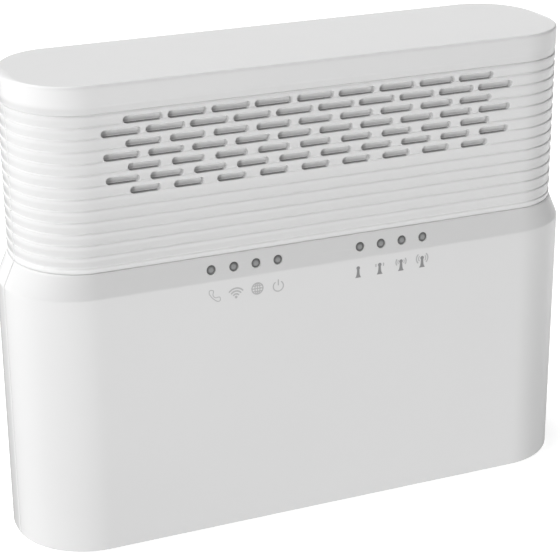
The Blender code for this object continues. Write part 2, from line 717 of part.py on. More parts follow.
# button profiles: radius, distance behind the outer face of the socket panel
POWER_PROFILE = [
    (0, 2.6), (3.7, 2.6), (POWER_BUTTON_R, 2.1), (POWER_BUTTON_R, -1.8),
    (5.0, -1.8), (5.0, -3.1), (1.5, -3.1), (1.5, -7.0), (0, -7.0),
]
PAIR_PROFILE = [
    (0, 1.7), (2.4, 1.7), (PAIR_BUTTON_R, 1.3), (PAIR_BUTTON_R, -1.8),
    (3.5, -1.8), (3.5, -3.1), (1.0, -3.1), (1.0, -10.3), (0, -10.3),
]
RESET_PROFILE = [(0, -1.9), (1.6, -1.9), (1.6, -2.9), (0.8, -2.9), (0.8, -10.1), (0, -10.1)]
PANEL_Y = (16.2, 17.7)         # inner and outer face of the socket panel


def switch_body(name, x, half, y_rear, bore_radius, bore_floor):
    body = box(name, *around(x, PORT_Z, half, half, REAR_SEAT, y_rear), BLACK)
    cut(body, rod_tool(name + "_bore", bore_radius, (x, bore_floor, PORT_Z), y_rear + 1.0, "Y",
                       segments=16))


def buttons():
    """Origins sit on each button's own axis, at the outer face of the socket panel."""
    face = PANEL_Y[1]
    turned("power_button", POWER_PROFILE, (POWER_X, face, PORT_Z), "Y", BUTTON)
    turned("pairing_button", PAIR_PROFILE, (PAIR_X, face, PORT_Z), "Y", BUTTON)
    turned("reset_pin", RESET_PROFILE, (RESET_X, face, PORT_Z), "Y", BLACK, steps=10)


# ---------------------------------------------------------------- socket panel tray
TRAY_WALL = 1.5
TRAY_REAR = 23.3
FLANGE_W = 2.0                 # flange beyond the opening's edge
FLANGE_Y = (19.8, LOWER[1] - WALL - GAP)


def bay_box(margin, y_front, y_rear):
    """Corners of a box larger than the rear opening by a margin all round."""
    return ((-BAY_HALF_X - margin, y_front, BAY_Z[0] - margin),
            (BAY_HALF_X + margin, y_rear, BAY_Z[1] + margin))


def port_panel():
    panel = box("port_panel", *bay_box(-GAP, PANEL_Y[0], TRAY_REAR), SHELL["panel"])
    join(panel, box_tool("panel_flange", *bay_box(FLANGE_W, *FLANGE_Y)))
    cut(panel, box_tool("panel_hollow", *bay_box(-GAP - TRAY_WALL, PANEL_Y[1], 26.0)))
    cut_y = (PANEL_Y[0] - 1.0, PANEL_Y[1] + 0.5)
    sockets = [(x, LAN_HALF_X, PLUG_HALF_Z) for x in LAN_X]
    sockets += [(PHONE_X, PHONE_HALF_X, PLUG_HALF_Z), (DC_X, DC_HALF_X, DC_HALF_Z)]
    holes = [add_box(*around(x, PORT_Z, half_x + GAP, half_z + GAP, *cut_y))
             for x, half_x, half_z in sockets]
    for x, radius, segments in ((POWER_X, POWER_BUTTON_R + GAP, 20),
                                (PAIR_X, PAIR_BUTTON_R + GAP, 16), (RESET_X, 0.9, 12)):
        holes += rods_along_y(radius, [(x, PORT_Z)], *cut_y, segments)
    cut(panel, merged("panel_holes", holes))


# ---------------------------------------------------------------- board components, rear side
CAPACITOR_X, CAPACITOR_Z = (34.0, 45.0), 44.0
CAPACITOR_PROFILE = [
    (0, 14.9), (3.6, 14.9), (4.0, 14.5), (4.0, 4.6), (3.7, 4.2), (4.0, 3.8),
    (4.0, REAR_SEAT), (0, REAR_SEAT),
]


def transformers():
    box("network_transformer", (-4.0, REAR_SEAT, 36.0), (12.0, 8.9, 48.0), FERRITE, chamfer=0.4)
    box("line_transformer", (-28.0, REAR_SEAT, 36.0), (-15.0, 12.0, 49.0), FERRITE, chamfer=0.4)


def capacitors():
    for number, x in enumerate(CAPACITOR_X, 1):
        turned("capacitor_%d" % number, CAPACITOR_PROFILE, (x, 0.0, CAPACITOR_Z), "Y", SLEEVE,
               steps=14)


# ---------------------------------------------------------------- SIM socket, card and label
SIM_X_OUT = 89.3               # outer edge of the card when it is in
SIM_CORNER = 3.0               # cut corner at the leading end
SIM_SOCKET_HALF_Z = 8.7
SIM_POCKET_GAP = 0.25          # clearance round the card in the socket


def sim_socket():
    half_y = SIM_T / 2 + SIM_POCKET_GAP
    half_z = SIM_WIDTH / 2 + SIM_POCKET_GAP
    socket = box("sim_socket", (58.0, REAR_SEAT, SIM_Z - SIM_SOCKET_HALF_Z),
                 (79.5, 6.6, SIM_Z + SIM_SOCKET_HALF_Z), CAN)
    cut(socket, box_tool("sim_pocket", (60.0, SIM_Y - half_y, SIM_Z - half_z),
                         (81.0, SIM_Y + half_y, SIM_Z + half_z)))


def sim_card():
    half = SIM_WIDTH / 2
    outline = [(-SIM_LENGTH, -half), (-SIM_LENGTH, half - SIM_CORNER),
               (-SIM_LENGTH + SIM_CORNER, half), (0.0, half), (0.0, -half)]
    profile_solid("sim_card", outline, SIM_T, CARD, (SIM_X_OUT, SIM_Y, SIM_Z),
                  (math.pi / 2, 0, 0))


def rating_label():
    y_front = LABEL_FLOOR + 0.1
    box("rating_label", *around(0.0, LABEL_Z, LABEL_HALF_X, LABEL_HALF_Z,
                                y_front, y_front + LABEL_T), LABEL)


# ---------------------------------------------------------------- antennas and their leads
SHEET_T = 0.5
LEG_HALF_X = 3.0
ANTENNAS = (                   # name, left, right, bottom, top, front face, middle of the leg
    ("cellular_antenna_main", -79.0, -47.0, 108.0, 126.0, -10.0, -70.0),
    ("cellular_antenna_second", 47.0, 79.0, 108.0, 126.0, -10.0, 70.0),
    ("wireless_antenna_1", -32.0, -14.0, 112.0, 124.0, -7.0, -28.0),
    ("wireless_antenna_2", 14.0, 32.0, 112.0, 124.0, -7.0, 28.0),
)
LEAD_R = 0.6
LEAD_Y = -0.6                  # the leads run here, just in front of the board
BEND_STEPS = 4
LEADS = (                      # name, start x, (x, z) ends of the level run, its bends' far ends
    # name, start x, first bend's z, level run: start x, end x, z; end x
    ("antenna_lead_main", -50.0, 88.0, -58.0, -62.0, 96.0, -66.0),
    ("antenna_lead_second", -42.0, 86.0, -34.0, 58.0, 94.0, 66.0),
)


def bent_antenna(name, left, right, bottom, top, y_front, leg_x):
    """Sheet radiator standing off the board on one bent leg."""
    plate = box(name, (left, y_front, bottom), (right, y_front + SHEET_T, top), ANTENNA)
    join(plate, box_tool(name + "_leg", (leg_x - LEG_HALF_X, y_front + 0.1, bottom),
                         (leg_x + LEG_HALF_X, FRONT_SEAT, bottom + SHEET_T)))


def bend(x_start, z_start, x_end, z_end, leaves_along):
    """Quarter turn between two points, leaving the first along X or Z."""
    points = []
    for i in range(BEND_STEPS + 1):
        angle = i / BEND_STEPS * math.pi / 2
        early, late = math.sin(angle), 1 - math.cos(angle)
        share_x, share_z = (late, early) if leaves_along == "Z" else (early, late)
        points.append((x_start + (x_end - x_start) * share_x, LEAD_Y,
                       z_start + (z_end - z_start) * share_z))
    return points


def antenna_lead(name, x_start, z_bend, run_start, run_end, z_run, x_end):
    """Cable that rises, runs level across the board and rises again."""
    path = [(x_start, 0.2, 77.0), (x_start, LEAD_Y, 79.0)]
    path += bend(x_start, z_bend, run_start, z_run, leaves_along="Z")
    path += bend(run_end, z_run, x_end, 100.0, leaves_along="X")
    path.append((x_end, LEAD_Y, 104.0))
    curve = bpy.data.curves.new(name, "CURVE")
    curve.dimensions = "3D"
    curve.bevel_depth = LEAD_R * MM
    curve.bevel_resolution = 2
    curve.use_fill_caps = True
    spline = curve.splines.new("POLY")
    spline.points.add(len(path) - 1)
    for point, place in zip(spline.points, path):
        point.co = (*[along * MM for along in place], 1.0)
    add_part(name, curve, COAX)


# ---------------------------------------------------------------- assembly
vent_covers()
vent_baffle()
top_cap()
front_cover()
rear_cover()
base_plate()
feet_and_base_screws()
main_board()
board_screws()
indicators("left", -1, first_number=1)
indicators("right", 1, first_number=5)
for can_name, *can_sizes in CANS:
    shield_can("shield_can_" + can_name, *can_sizes)
thermal_pad()
heat_sink()
for lan_number, lan_x in enumerate(LAN_X, 1):
    plug_socket("network_socket_%d" % lan_number, lan_x, LAN_HALF_X, LAN_MOUTH)
plug_socket("telephone_socket", PHONE_X, PHONE_HALF_X, PHONE_MOUTH)
power_socket()
for switch in SWITCHES:
    switch_body(*switch)
buttons()
port_panel()
transformers()
capacitors()
sim_socket()
sim_card()
rating_label()
for antenna in ANTENNAS:
    bent_antenna(*antenna)
for lead in LEADS:
    antenna_lead(*lead)
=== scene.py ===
"""Upright home gateway: ribbed upper shells and cap over smooth lower shells, built round
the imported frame.

Lengths are millimetres (MM turns them into metres) in the frame's own axes:
+Z up, front towards -Y, width along X with the right side (seen from the front) at +X.
"""

import json
import math

import bmesh
import bpy
from mathutils import Matrix, Vector


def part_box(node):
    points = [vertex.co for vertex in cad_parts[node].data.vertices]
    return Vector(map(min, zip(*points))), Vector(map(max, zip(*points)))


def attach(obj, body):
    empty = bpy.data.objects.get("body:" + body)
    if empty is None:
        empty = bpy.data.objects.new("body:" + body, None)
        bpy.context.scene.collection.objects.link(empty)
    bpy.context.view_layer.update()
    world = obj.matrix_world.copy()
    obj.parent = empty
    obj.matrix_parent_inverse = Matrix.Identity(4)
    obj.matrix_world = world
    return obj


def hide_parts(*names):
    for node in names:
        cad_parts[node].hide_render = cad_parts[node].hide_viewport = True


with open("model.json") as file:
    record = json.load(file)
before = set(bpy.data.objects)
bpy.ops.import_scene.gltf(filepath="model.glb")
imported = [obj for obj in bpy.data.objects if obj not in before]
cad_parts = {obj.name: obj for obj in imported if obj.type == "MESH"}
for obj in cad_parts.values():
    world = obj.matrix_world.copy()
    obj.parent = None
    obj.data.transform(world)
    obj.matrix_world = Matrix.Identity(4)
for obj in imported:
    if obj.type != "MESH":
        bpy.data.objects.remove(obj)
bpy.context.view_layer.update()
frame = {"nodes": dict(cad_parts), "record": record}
MM = 0.001
QUARTER = math.pi / 2


def cad(node):
    """Low and high corners of a CAD node in millimetres."""
    low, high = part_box(node)
    return [c / MM for c in low], [c / MM for c in high]


def middle(node):
    return [(a + b) / 2 for a, b in zip(*cad(node))]


# ------------------------------------------------------------------ driving sizes
cap_low, cap_high = cad("top_cap")
case_low, case_high = cad("front_cover")
rear_high = cad("rear_cover")[1]

# plan shapes: half width, half depth, corner half-axis along X, along Y
FLAT_HALF = 67.8                # the upper front and rear are flat up to this X
UPPER = (cap_high[0], cap_high[1], cap_high[0] - FLAT_HALF, 22.4)
LOWER = (rear_high[0], -case_low[1], 22.5, 22.5)
WALL = 2.0
GAP = 0.3                       # between neighbouring parts
Y_SEAM = -3.4                   # side seam between the front and rear shells
SEAM_EDGE = 0.22                # rounding of the vertical edges at the seam

Z_CASE = case_low[2]
Z_WAIST = case_high[2] + GAP / 2
Z_CAP = cap_low[2] - GAP / 2
Z_TOP = cap_high[2]
RIM_LOW = Z_WAIST - 0.07        # lower rim of the ribbed shells
BAND_TOP = RIM_LOW - 0.09       # top of the lower shells, under the waist gap
CREASE = 80.95                  # soft crease where the lower shells begin to narrow or widen
INNER_CREASE = 80.3             # the same crease on their inner face

# ribs: (share of the pitch from the rib's upper edge downwards, how far the skin stands back)
PITCH = 3.4
RIBS = 13
RIB_KNOTS = (
    (0.0, 0.0), (0.08, 0.0), (0.18, 0.004), (0.24, 0.018), (0.30, 0.042), (0.40, 0.098),
    (0.52, 0.165), (0.60, 0.206), (0.67, 0.240), (0.74, 0.266), (0.78, 0.270), (0.81, 0.262),
    (0.835, 0.21), (0.85, 0.13), (0.865, 0.05), (0.885, 0.0), (1.0, 0.0))
RIB_BACK = max(depth for _, depth in RIB_KNOTS)
GROOVE_SHARE = 0.825
Z_PART = Z_CAP + (1 - GROOVE_SHARE) * PITCH     # the cap parts from the shells in a groove
RIM_TOP = Z_CAP - PITCH * RIBS

SLOT_HEIGHT = 2.28
SLOT_PITCH = 12.945             # along X
SLOT_OFFSET = -0.88             # the pattern sits a little left of the middle
SLOT_LENGTHS = (11.55, 11.55, 10.65, 10.65, 9.83, 9.83, 8.93)   # one per row, downwards
Z_SLOT_TOP = Z_CAP - 0.562 * PITCH
REAR_ROWS = 3
PEGS = [(x, z) for x in (-61.5, 61.5) for z in (132.1, 107.5)]  # pegs that carry the baffle

WINDOW_R = 1.36                 # indicator windows and the holes round them
HOLE_R = 1.43
LEDS = [middle("indicator_diode_%d" % i)[0] for i in range(1, 9)]
LED_XS = sorted(abs(x) for x in LEDS)[::2]
LED_Z = middle("light_guide_right")[2]


# ------------------------------------------------------------------ plane outlines
def arc(centre, radius, start, turn, steps):
    """steps + 1 points from a start angle through a turn, in radians."""
    angles = [start + turn * i / steps for i in range(steps + 1)]
    return [(centre[0] + radius * math.cos(a), centre[1] + radius * math.sin(a)) for a in angles]


def circle(across, up, radius, count=48):
    return arc((across, up), radius, 0.0, 2 * math.pi, count)[:-1]


def rounded_rect(half_across, half_up, radius, steps=6, centre=(0, 0)):
    """Counter-clockwise rounded rectangle."""
    radius = min(radius, half_across - 1e-4, half_up - 1e-4)
    inner_x, inner_y = half_across - radius, half_up - radius
    points = []
    for i, (side, end) in enumerate(((1, 1), (-1, 1), (-1, -1), (1, -1))):
        points += arc((side * inner_x, end * inner_y), radius, i * QUARTER, QUARTER, steps)
    return [(x + centre[0], y + centre[1]) for x, y in points]


def soften(stations, steps=4):
    """Open path through (across, up, rounding) stations; its two ends stay sharp."""
    points = [Vector(station[:2]) for station in stations]
    path = [stations[0][:2]]
    for before, point, after, station in zip(points, points[1:], points[2:], stations[1:]):
        back, ahead = before - point, after - point
        reach = min(station[2], back.length * 0.48, ahead.length * 0.48)
        start, end = point + back.normalized() * reach, point + ahead.normalized() * reach
        for i in range(steps + 1):
            share = i / steps
            path.append(tuple(start * (1 - share) ** 2 + point * 2 * share * (1 - share)
                              + end * share * share))
    return path + [stations[-1][:2]]


def stroke_sides(points, halves, closed=False):
    """Left and right edges of a stroke with a half width per point."""
    points = [Vector(point) for point in points]
    last = len(points) - 1
    left, right = [], []
    for i, (point, half) in enumerate(zip(points, halves)):
        if closed:
            before, after = points[i - 1], points[(i + 1) % len(points)]
        else:
            before, after = points[max(i - 1, 0)], points[min(i + 1, last)]
        along = (after - before).normalized()
        normal = Vector((-along.y, along.x))
        left.append(point + normal * half)
        right.append(point - normal * half)
    return left, right


# ------------------------------------------------------------------ mesh tools
def new_object(name, mesh):
    """Object from a BMesh, its faces turned outwards."""
    bmesh.ops.recalc_face_normals(mesh, faces=mesh.faces[:])
    data = bpy.data.meshes.new(name)
    mesh.to_mesh(data)
    mesh.free()
    obj = bpy.data.objects.new(name, data)
    bpy.context.scene.collection.objects.link(obj)
    return obj


def add_ring(mesh, points):
    return [mesh.verts.new((x * MM, y * MM, z * MM)) for x, y, z in points]


def bridge(mesh, low, high, closed=True):
    """Faces between two rings, or between two open rows."""
    count = len(low)
    for i in range(count if closed else count - 1):
        j = (i + 1) % count
        mesh.faces.new((low[i], low[j], high[j], high[i]))


def loft_into(mesh, rings, looped=False):
    """Skin through rings of points, capped at both ends or looped back to the first."""
    made = [add_ring(mesh, ring) for ring in rings]
    for low, high in zip(made, made[1:]):
        bridge(mesh, low, high)
    if looped:
        bridge(mesh, made[-1], made[0])
    else:
        mesh.faces.new(made[0])
        mesh.faces.new(list(reversed(made[-1])))


def loft(name, rings):
    mesh = bmesh.new()
    loft_into(mesh, rings)
    return new_object(name, mesh)


def place(axis, across, up, distance):
    """Point from plane coordinates and a distance along the axis."""
    return {"Z": (across, up, distance), "Y": (across, distance, up),
            "X": (distance, across, up)}[axis]


def ring_at(points, axis, distance):
    return [place(axis, across, up, distance) for across, up in points]


def block_into(mesh, low, high, axis, corner, edge, corner_steps=5, edge_steps=3):
    """Box with rounded corners round the axis and rounded edges at both ends."""
    i, j, k = {"Z": (0, 1, 2), "Y": (0, 2, 1)}[axis]
    centre = (low[i] + high[i]) / 2, (low[j] + high[j]) / 2
    half_across, half_up = (high[i] - low[i]) / 2, (high[j] - low[j]) / 2
    angles = [QUARTER * n / edge_steps for n in range(edge_steps + 1)]
    ends = [(edge * (1 - math.sin(a)), edge * (1 - math.cos(a))) for a in angles]
    levels = [(inset, low[k] + rise) for inset, rise in ends]
    levels += [(inset, high[k] - rise) for inset, rise in reversed(ends)]
    loft_into(mesh, [
        ring_at(rounded_rect(half_across - inset, half_up - inset, max(corner - inset, 0.02),
                             corner_steps, centre), axis, distance)
        for inset, distance in levels])


def block(name, *shape):
    mesh = bmesh.new()
    block_into(mesh, *shape)
    return new_object(name, mesh)


def turn_into(mesh, profile, origin, axis="Z", segments=48):
    """Solid of revolution; profile is (radius, height), and starts and ends on the axis."""
    rings = []
    for radius, height in profile:
        ring = ring_at(circle(0, 0, radius, segments if radius else 1), axis, height)
        rings.append(add_ring(mesh, [[o + c for o, c in zip(origin, p)] for p in ring]))
    first, last = rings[0][0], rings[-1][0]
    for i in range(segments):
        mesh.faces.new((first, rings[1][(i + 1) % segments], rings[1][i]))
    for low, high in zip(rings[1:-1], rings[2:-1]):
        bridge(mesh, low, high)
    for i in range(segments):
        mesh.faces.new((rings[-2][i], rings[-2][(i + 1) % segments], last))


def turned(name, *shape):
    mesh = bmesh.new()
    turn_into(mesh, *shape)
    return new_object(name, mesh)


def prism_into(mesh, outline, axis, start, end, flare=0.0, face=None):
    """Prism of a plane outline, widened round its crossing with a face if it has a flare."""
    points = [Vector(point) for point in outline]

    def grown(growth):
        ring = []
        for before, point, after in zip(points[-1:] + points, points, points[1:] + points[:1]):
            along = after - before
            normal = Vector((along.y, -along.x)).normalized()
            ring.append((point.x + normal.x * growth, point.y + normal.y * growth))
        return ring

    levels = [(0.0, start), (0.0, end)]         # growth, distance
    if flare:
        levels = [(0.0, start), (0.0, face - flare), (0.3 * flare, face - 0.45 * flare),
                  (flare, face), (1.5 * flare, face + 0.3 * flare), (1.5 * flare, end)]
    loft_into(mesh, [ring_at(grown(growth), axis, distance) for growth, distance in levels])


def carve(obj, mesh, operation="DIFFERENCE"):
    """Applies a Boolean with the BMesh as its cutter."""
    cutter = new_object("cutter", mesh)
    boolean = obj.modifiers.new("carve", "BOOLEAN")
    boolean.operation = operation
    boolean.solver = "EXACT"
    boolean.object = cutter
    graph = bpy.context.evaluated_depsgraph_get()
    carved = bpy.data.meshes.new_from_object(obj.evaluated_get(graph))
    obj.modifiers.clear()
    old, obj.data = obj.data, carved
    bpy.data.meshes.remove(old)
    data = cutter.data
    bpy.data.objects.remove(cutter, do_unlink=True)
    bpy.data.meshes.remove(data)


# ------------------------------------------------------------------ case outlines
def mix(one, two, share):
    return tuple(p + (q - p) * share for p, q in zip(one, two))


def corner_point(shape, inset, angle, side, end):
    """Point on a corner; side and end are the signs of X and Y."""
    half_x, half_y, round_x, round_y = shape
    return (side * (half_x - round_x + (round_x - inset) * math.cos(angle)),
            end * (half_y - round_y + (round_y - inset) * math.sin(angle)))


def side_point(shape, inset, y):
    """Point of the right side at a given y."""
    half_x, half_y, round_x, round_y = shape
    rise = max(abs(y) - (half_y - round_y), 0.0) / (round_y - inset)
    return half_x - round_x + (round_x - inset) * math.sqrt(max(0.0, 1 - rise * rise)), y


def corner_angles(steps):
    for side, end in ((1, 1), (-1, 1), (-1, -1), (1, -1)):
        for i in range(steps + 1):
            yield side, end, QUARTER * (i if side == end else steps - i) / steps


def full_outline(shape, inset, steps=32):
    return [corner_point(shape, inset, angle, side, end)
            for side, end, angle in corner_angles(steps)]


SEAM_ROUND = [(SEAM_EDGE * (1 - math.cos(a)), SEAM_EDGE * (1 - math.sin(a)))
              for a in (0.0, QUARTER / 3, 2 * QUARTER / 3, QUARTER)]   # along Y, inwards
HALF_STEPS = 30


def half_outline(shape, inset, rear, outer):
    """Right seam, round the front or rear, to the left seam."""
    step = 1 if rear else -1
    y_cut = Y_SEAM + step * GAP / 2
    path = [side_point(shape, inset + (draw if outer else 0.0), y_cut + step * run)
            for run, draw in SEAM_ROUND]
    _, half_y, _, round_y = shape
    seam_angle = math.asin((abs(y_cut) - step * 0.6 - (half_y - round_y)) / round_y)
    if rear:
        path += [corner_point(shape, inset, seam_angle * (1 - i / 3), 1, -1) for i in range(4)]
        start, end = 0.0, 1
    else:
        start, end = seam_angle, -1
    path += [corner_point(shape, inset, start + (QUARTER - start) * i / HALF_STEPS, 1, end)
             for i in range(HALF_STEPS + 1)]
    return path + [(-x, y) for x, y in reversed(path)]


def half_shell(name, outer, inner, rear):
    """Closed wall through outer, then inner rows of (shape, inset, height)."""
    mesh = bmesh.new()
    rings = [add_ring(mesh, ring_at(half_outline(shape, inset, rear, rows is outer), "Z", z))
             for rows in (outer, inner) for shape, inset, z in rows]
    for low, high in zip(rings, rings[1:] + rings[:1]):
        bridge(mesh, low, high, closed=False)
    mesh.faces.new([ring[0] for ring in rings])
    mesh.faces.new([ring[-1] for ring in reversed(rings)])
    return new_object(name, mesh)


# ------------------------------------------------------------------ rib profile
def rib_at(z):
    """How far the ribbed skin stands back at a height."""
    share = (Z_CAP - z) / PITCH % 1.0
    for (share_0, depth_0), (share_1, depth_1) in zip(RIB_KNOTS, RIB_KNOTS[1:]):
        if share <= share_1:
            return depth_0 + (depth_1 - depth_0) * (share - share_0) / (share_1 - share_0)


def rib_slope(z, reach=0.05):
    """Slope of the skin, eased over a short height."""
    return (rib_at(z + reach) - rib_at(z - reach)) / (2 * reach)


def vent_section():
    """Outer and inner rows of the ribbed shells."""
    high = Z_PART - 0.008
    lap = WALL + GAP
    outer = [(RIB_BACK + 0.3, high - 0.05), (RIB_BACK + 0.06, high - 0.02)]
    outer += [(depth, Z_CAP - PITCH * (share - 1)) for share, depth in RIB_KNOTS[12:-1]]
    outer += [(depth, Z_CAP - PITCH * (k + share))
              for k in range(RIBS) for share, depth in RIB_KNOTS[:-1]]
    # rim above the waist gap
    outer += [(0.0, RIM_TOP), (0.0, RIM_LOW + 0.42), (0.02, RIM_LOW + 0.24),
              (0.07, RIM_LOW + 0.10), (0.14, RIM_LOW + 0.02), (0.20, RIM_LOW)]
    # upwards, with a lip below the rim and another behind the cap
    inner = [(lap, RIM_LOW), (lap, RIM_LOW - 2.0), (lap + 1.5, RIM_LOW - 2.0),
             (lap + 1.5, RIM_LOW + 1.5), (WALL, RIM_LOW + 2.5), (WALL, Z_CAP - 0.7),
             (lap + 1.5, Z_CAP - 0.7), (lap + 1.5, Z_CAP + 1.85), (lap, Z_CAP + 1.85),
             (lap, high - 0.05)]
    return [[(UPPER, inset, z) for inset, z in rows] for rows in (outer, inner)]


# rounded rim of a slot: growth of the outline, depth below the skin
SLOT_RIM = ((0.13, -3.0), (0.13, -0.04), (0.07, 0.0), (0.03, 0.035), (0.01, 0.075),
            (0.0, 0.12), (0.0, 3.6))


def slot_into(mesh, x, z, length, side):
    """Slot cutter whose rim follows the rib surface; side is the sign of Y."""
    reach = length / 2 - SLOT_HEIGHT / 2
    rings = []
    for growth, below in SLOT_RIM:
        radius = SLOT_HEIGHT / 2 + growth
        points = arc((reach, 0.0), radius, -QUARTER, math.pi, 9)
        points += arc((-reach, 0.0), radius, QUARTER, math.pi, 9)
        rings.append([(x + across, side * (UPPER[1] - rib_at(z + up) - below), z + up)
                      for across, up in points])
    loft_into(mesh, rings)


def set_skin_normals(obj):
    """Exact normals on the ribbed skin, so that the slots leave no shading marks."""
    data = obj.data
    half_x, half_y, round_x, round_y = UPPER
    normals = [Vector(n.vector) for n in data.corner_normals]
    for poly in data.polygons:
        if not RIM_LOW + 0.43 <= poly.center.z / MM <= Z_PART - 0.04:
            continue
        for corner in poly.loop_indices:
            p = data.vertices[data.loops[corner].vertex_index].co / MM
            depth = rib_at(p.z)
            share_x = max(abs(p.x) - (half_x - round_x), 0.0) / (round_x - depth)
            share_y = max(abs(p.y) - (half_y - round_y), 0.0) / (round_y - depth)
            # distance from the skin: only its own points get the exact normal
            if share_x > 0:
                miss = abs(math.hypot(share_x, share_y) - 1) * round_y
                normal = Vector((math.copysign(share_x / (round_x - depth), p.x),
                                 math.copysign(share_y / (round_y - depth), p.y), 0.0))
            else:
                miss = abs(half_y - depth - abs(p.y))
                normal = Vector((0.0, math.copysign(1.0, p.y), 0.0))
            if miss > 0.03:
                break
            normal.normalize()
            if poly.normal.dot(normal) < 0.3:
                break
            slope = rib_slope(p.z) if p.z > RIM_TOP + 0.1 else 0.0
            normals[corner] = (normal + Vector((0, 0, slope))).normalized()
    data.normals_split_custom_set([tuple(v) for v in normals])


# ------------------------------------------------------------------ shader tools
class Shader:
    """A node tree with short calls that add nodes and join them."""

    def __init__(self, tree):
        self.tree = tree
        self.bsdf = tree.nodes.get("Principled BSDF")

    def feed(self, socket, value):
        """Joins an output to an input, or sets the input to a plain value."""
        if isinstance(value, bpy.types.NodeSocket):
            self.tree.links.new(value, socket)
        else:
            socket.default_value = value

    def add(self, kind, inputs=None, **settings):
        made = self.tree.nodes.new("ShaderNode" + kind)
        for key, value in settings.items():
            setattr(made, key, value)
        for key, value in (inputs or {}).items():
            self.feed(made.inputs[key], value)
        return made

    def surface(self, inputs):
        for key, value in inputs.items():
            self.feed(self.bsdf.inputs[key], value)

    def coords(self, scale=(1, 1, 1)):
        found = self.add("TexCoord").outputs["Object"]
        return self.add("Mapping", {"Vector": found, "Scale": scale}).outputs["Vector"]

    def xyz(self, vector):
        return self.add("SeparateXYZ", {0: vector}).outputs

    def noise(self, vector, scale, detail=3.0, rough=0.5):
        return self.add("TexNoise", {"Vector": vector, "Scale": scale, "Detail": detail,
                                     "Roughness": rough}).outputs["Fac"]

    def calc(self, operation, *values):
        """One step of arithmetic on sockets or plain numbers."""
        return self.add("Math", dict(enumerate(values)), operation=operation).outputs[0]

    def ramp(self, fac, stops):
        """Piecewise line through (position, grey or colour) stops."""
        made = self.add("ValToRGB", {"Fac": fac})
        elements = made.color_ramp.elements
        elements.remove(elements[-1])
        for i, (position, tone) in enumerate(stops):
            element = elements[0] if i == 0 else elements.new(position)
            element.position = position
            colour = tone if isinstance(tone, (tuple, list)) else (tone, tone, tone)
            element.color = (*colour, 1.0)
        return made.outputs["Color"]

    def fade(self, fac, low, high, start=0.35, end=0.65):
        return self.ramp(fac, ((start, low), (end, high)))

    def map_range(self, value, from_min, from_max, to_min=0.0, to_max=1.0):
        return self.add("MapRange", {
            "Value": value, "From Min": from_min, "From Max": from_max,
            "To Min": to_min, "To Max": to_max}).outputs[0]

    def multiply(self, colour, factor, amount=1.0):
        return self.add("Mix", {0: amount, 6: colour, 7: factor},
                        data_type="RGBA", blend_type="MULTIPLY").outputs[2]

    def bump(self, height, strength, distance=0.00002):
        return self.add("Bump", {"Strength": strength, "Distance": distance,
                                 "Height": height}).outputs["Normal"]


MAT = {}


def new_material(name):
    MAT[name] = bpy.data.materials.new(name)
    MAT[name].use_nodes = True
    return Shader(MAT[name].node_tree)


# ------------------------------------------------------------------ materials
WHITE = (0.86, 0.86, 0.86)
# white of the painted light emissions
PAINTED_LIGHT_WHITE = (1.0, 1.0, 1.0, 1.0)
SIDE_X = 67.5                   # the flat sides end at about this X

# painted light and shade over the case's height, standing in for how light falls on it: height,
# tone
HEIGHT_SPAN = 150.0
PAINTED_LIGHT_BY_HEIGHT = (
    (0.0, 0.957), (3.0, 0.957), (14.0, 0.939), (25.0, 0.9265), (36.0, 0.918), (47.0, 0.911),
    (60.0, 0.906), (80.5, 0.906), (81.5, 0.9226), (88.2, 0.9226), (89.1, 0.94), (89.5, 1.02),
    (89.9, 1.02), (90.6, 0.925), (100.0, 0.923), (113.0, 0.930), (126.0, 0.925),
    (133.6, 0.918), (134.8, 0.905), (136.0, 0.897), (136.8, 0.955), (137.2, 0.984),
    (141.2, 0.997), (142.0, 1.0), (142.4, 0.985), (142.9, 0.93), (150.0, 0.93))


def paint_light_by_height(shader, vector, tone):
    # painted light and shade: the tone is multiplied by a ramp over height
    share = shader.calc("MULTIPLY", shader.xyz(vector)["Z"], 1 / (HEIGHT_SPAN * MM))
    steps = shader.ramp(share, [(z / HEIGHT_SPAN, level) for z, level in PAINTED_LIGHT_BY_HEIGHT])
    return shader.multiply(tone, steps)


def paint_slot_wall_shade(shader, vector, tone, depth=0.40, blur=0.12, level=0.42, painted_bounce=0.09):
    """Painted shade on the walls of the slots, which take less light than the skin.

    Gives the tone with that shade painted in, the specular level, and painted bounced light (an
    emission) on end walls that face left."""
    calc = shader.calc
    at = shader.xyz(vector)
    skin = UPPER[1] - depth
    edge = shader.map_range(calc("ABSOLUTE", at["Y"]), (skin - blur) * MM, skin * MM, level, 1.0)
    beyond = calc("GREATER_THAN", calc("ABSOLUTE", at["X"]), SIDE_X * MM)
    lit = calc("MAXIMUM", edge, beyond)
    facing = shader.xyz(shader.add("NewGeometry").outputs["Normal"])
    ends = shader.map_range(facing["X"], from_min=-0.1, from_max=-0.55, to_min=1.0, to_max=0.05)
    tone = shader.multiply(tone, lit, ends)
    spec = shader.fade(lit, 0.1, 0.5, start=0.5, end=1.0)
    shaded_end = calc("MULTIPLY", calc("SUBTRACT", 1.0, ends), calc("SUBTRACT", 1.0, lit))
    return tone, spec, calc("MULTIPLY", shaded_end, painted_bounce)


def paint_top_shade(shader, tone, level=0.975):
    """Painted shade: the level top is given a slightly lower tone than the sides."""
    calc = shader.calc
    facing = shader.xyz(shader.add("NewGeometry").outputs["True Normal"])
    is_level = calc("GREATER_THAN", facing["Z"], 0.999)
    factor = calc("SUBTRACT", 1.0, calc("MULTIPLY", is_level, 1.0 - level))
    return shader.multiply(tone, factor)


# painted light in the bottom of each groove, over one pitch: share of the pitch, strength
GROOVE_PAINTED_LIGHT = ((0.0, 0.0), (0.78, 0.0), (0.815, 1.0), (0.865, 1.0), (0.885, 0.0))


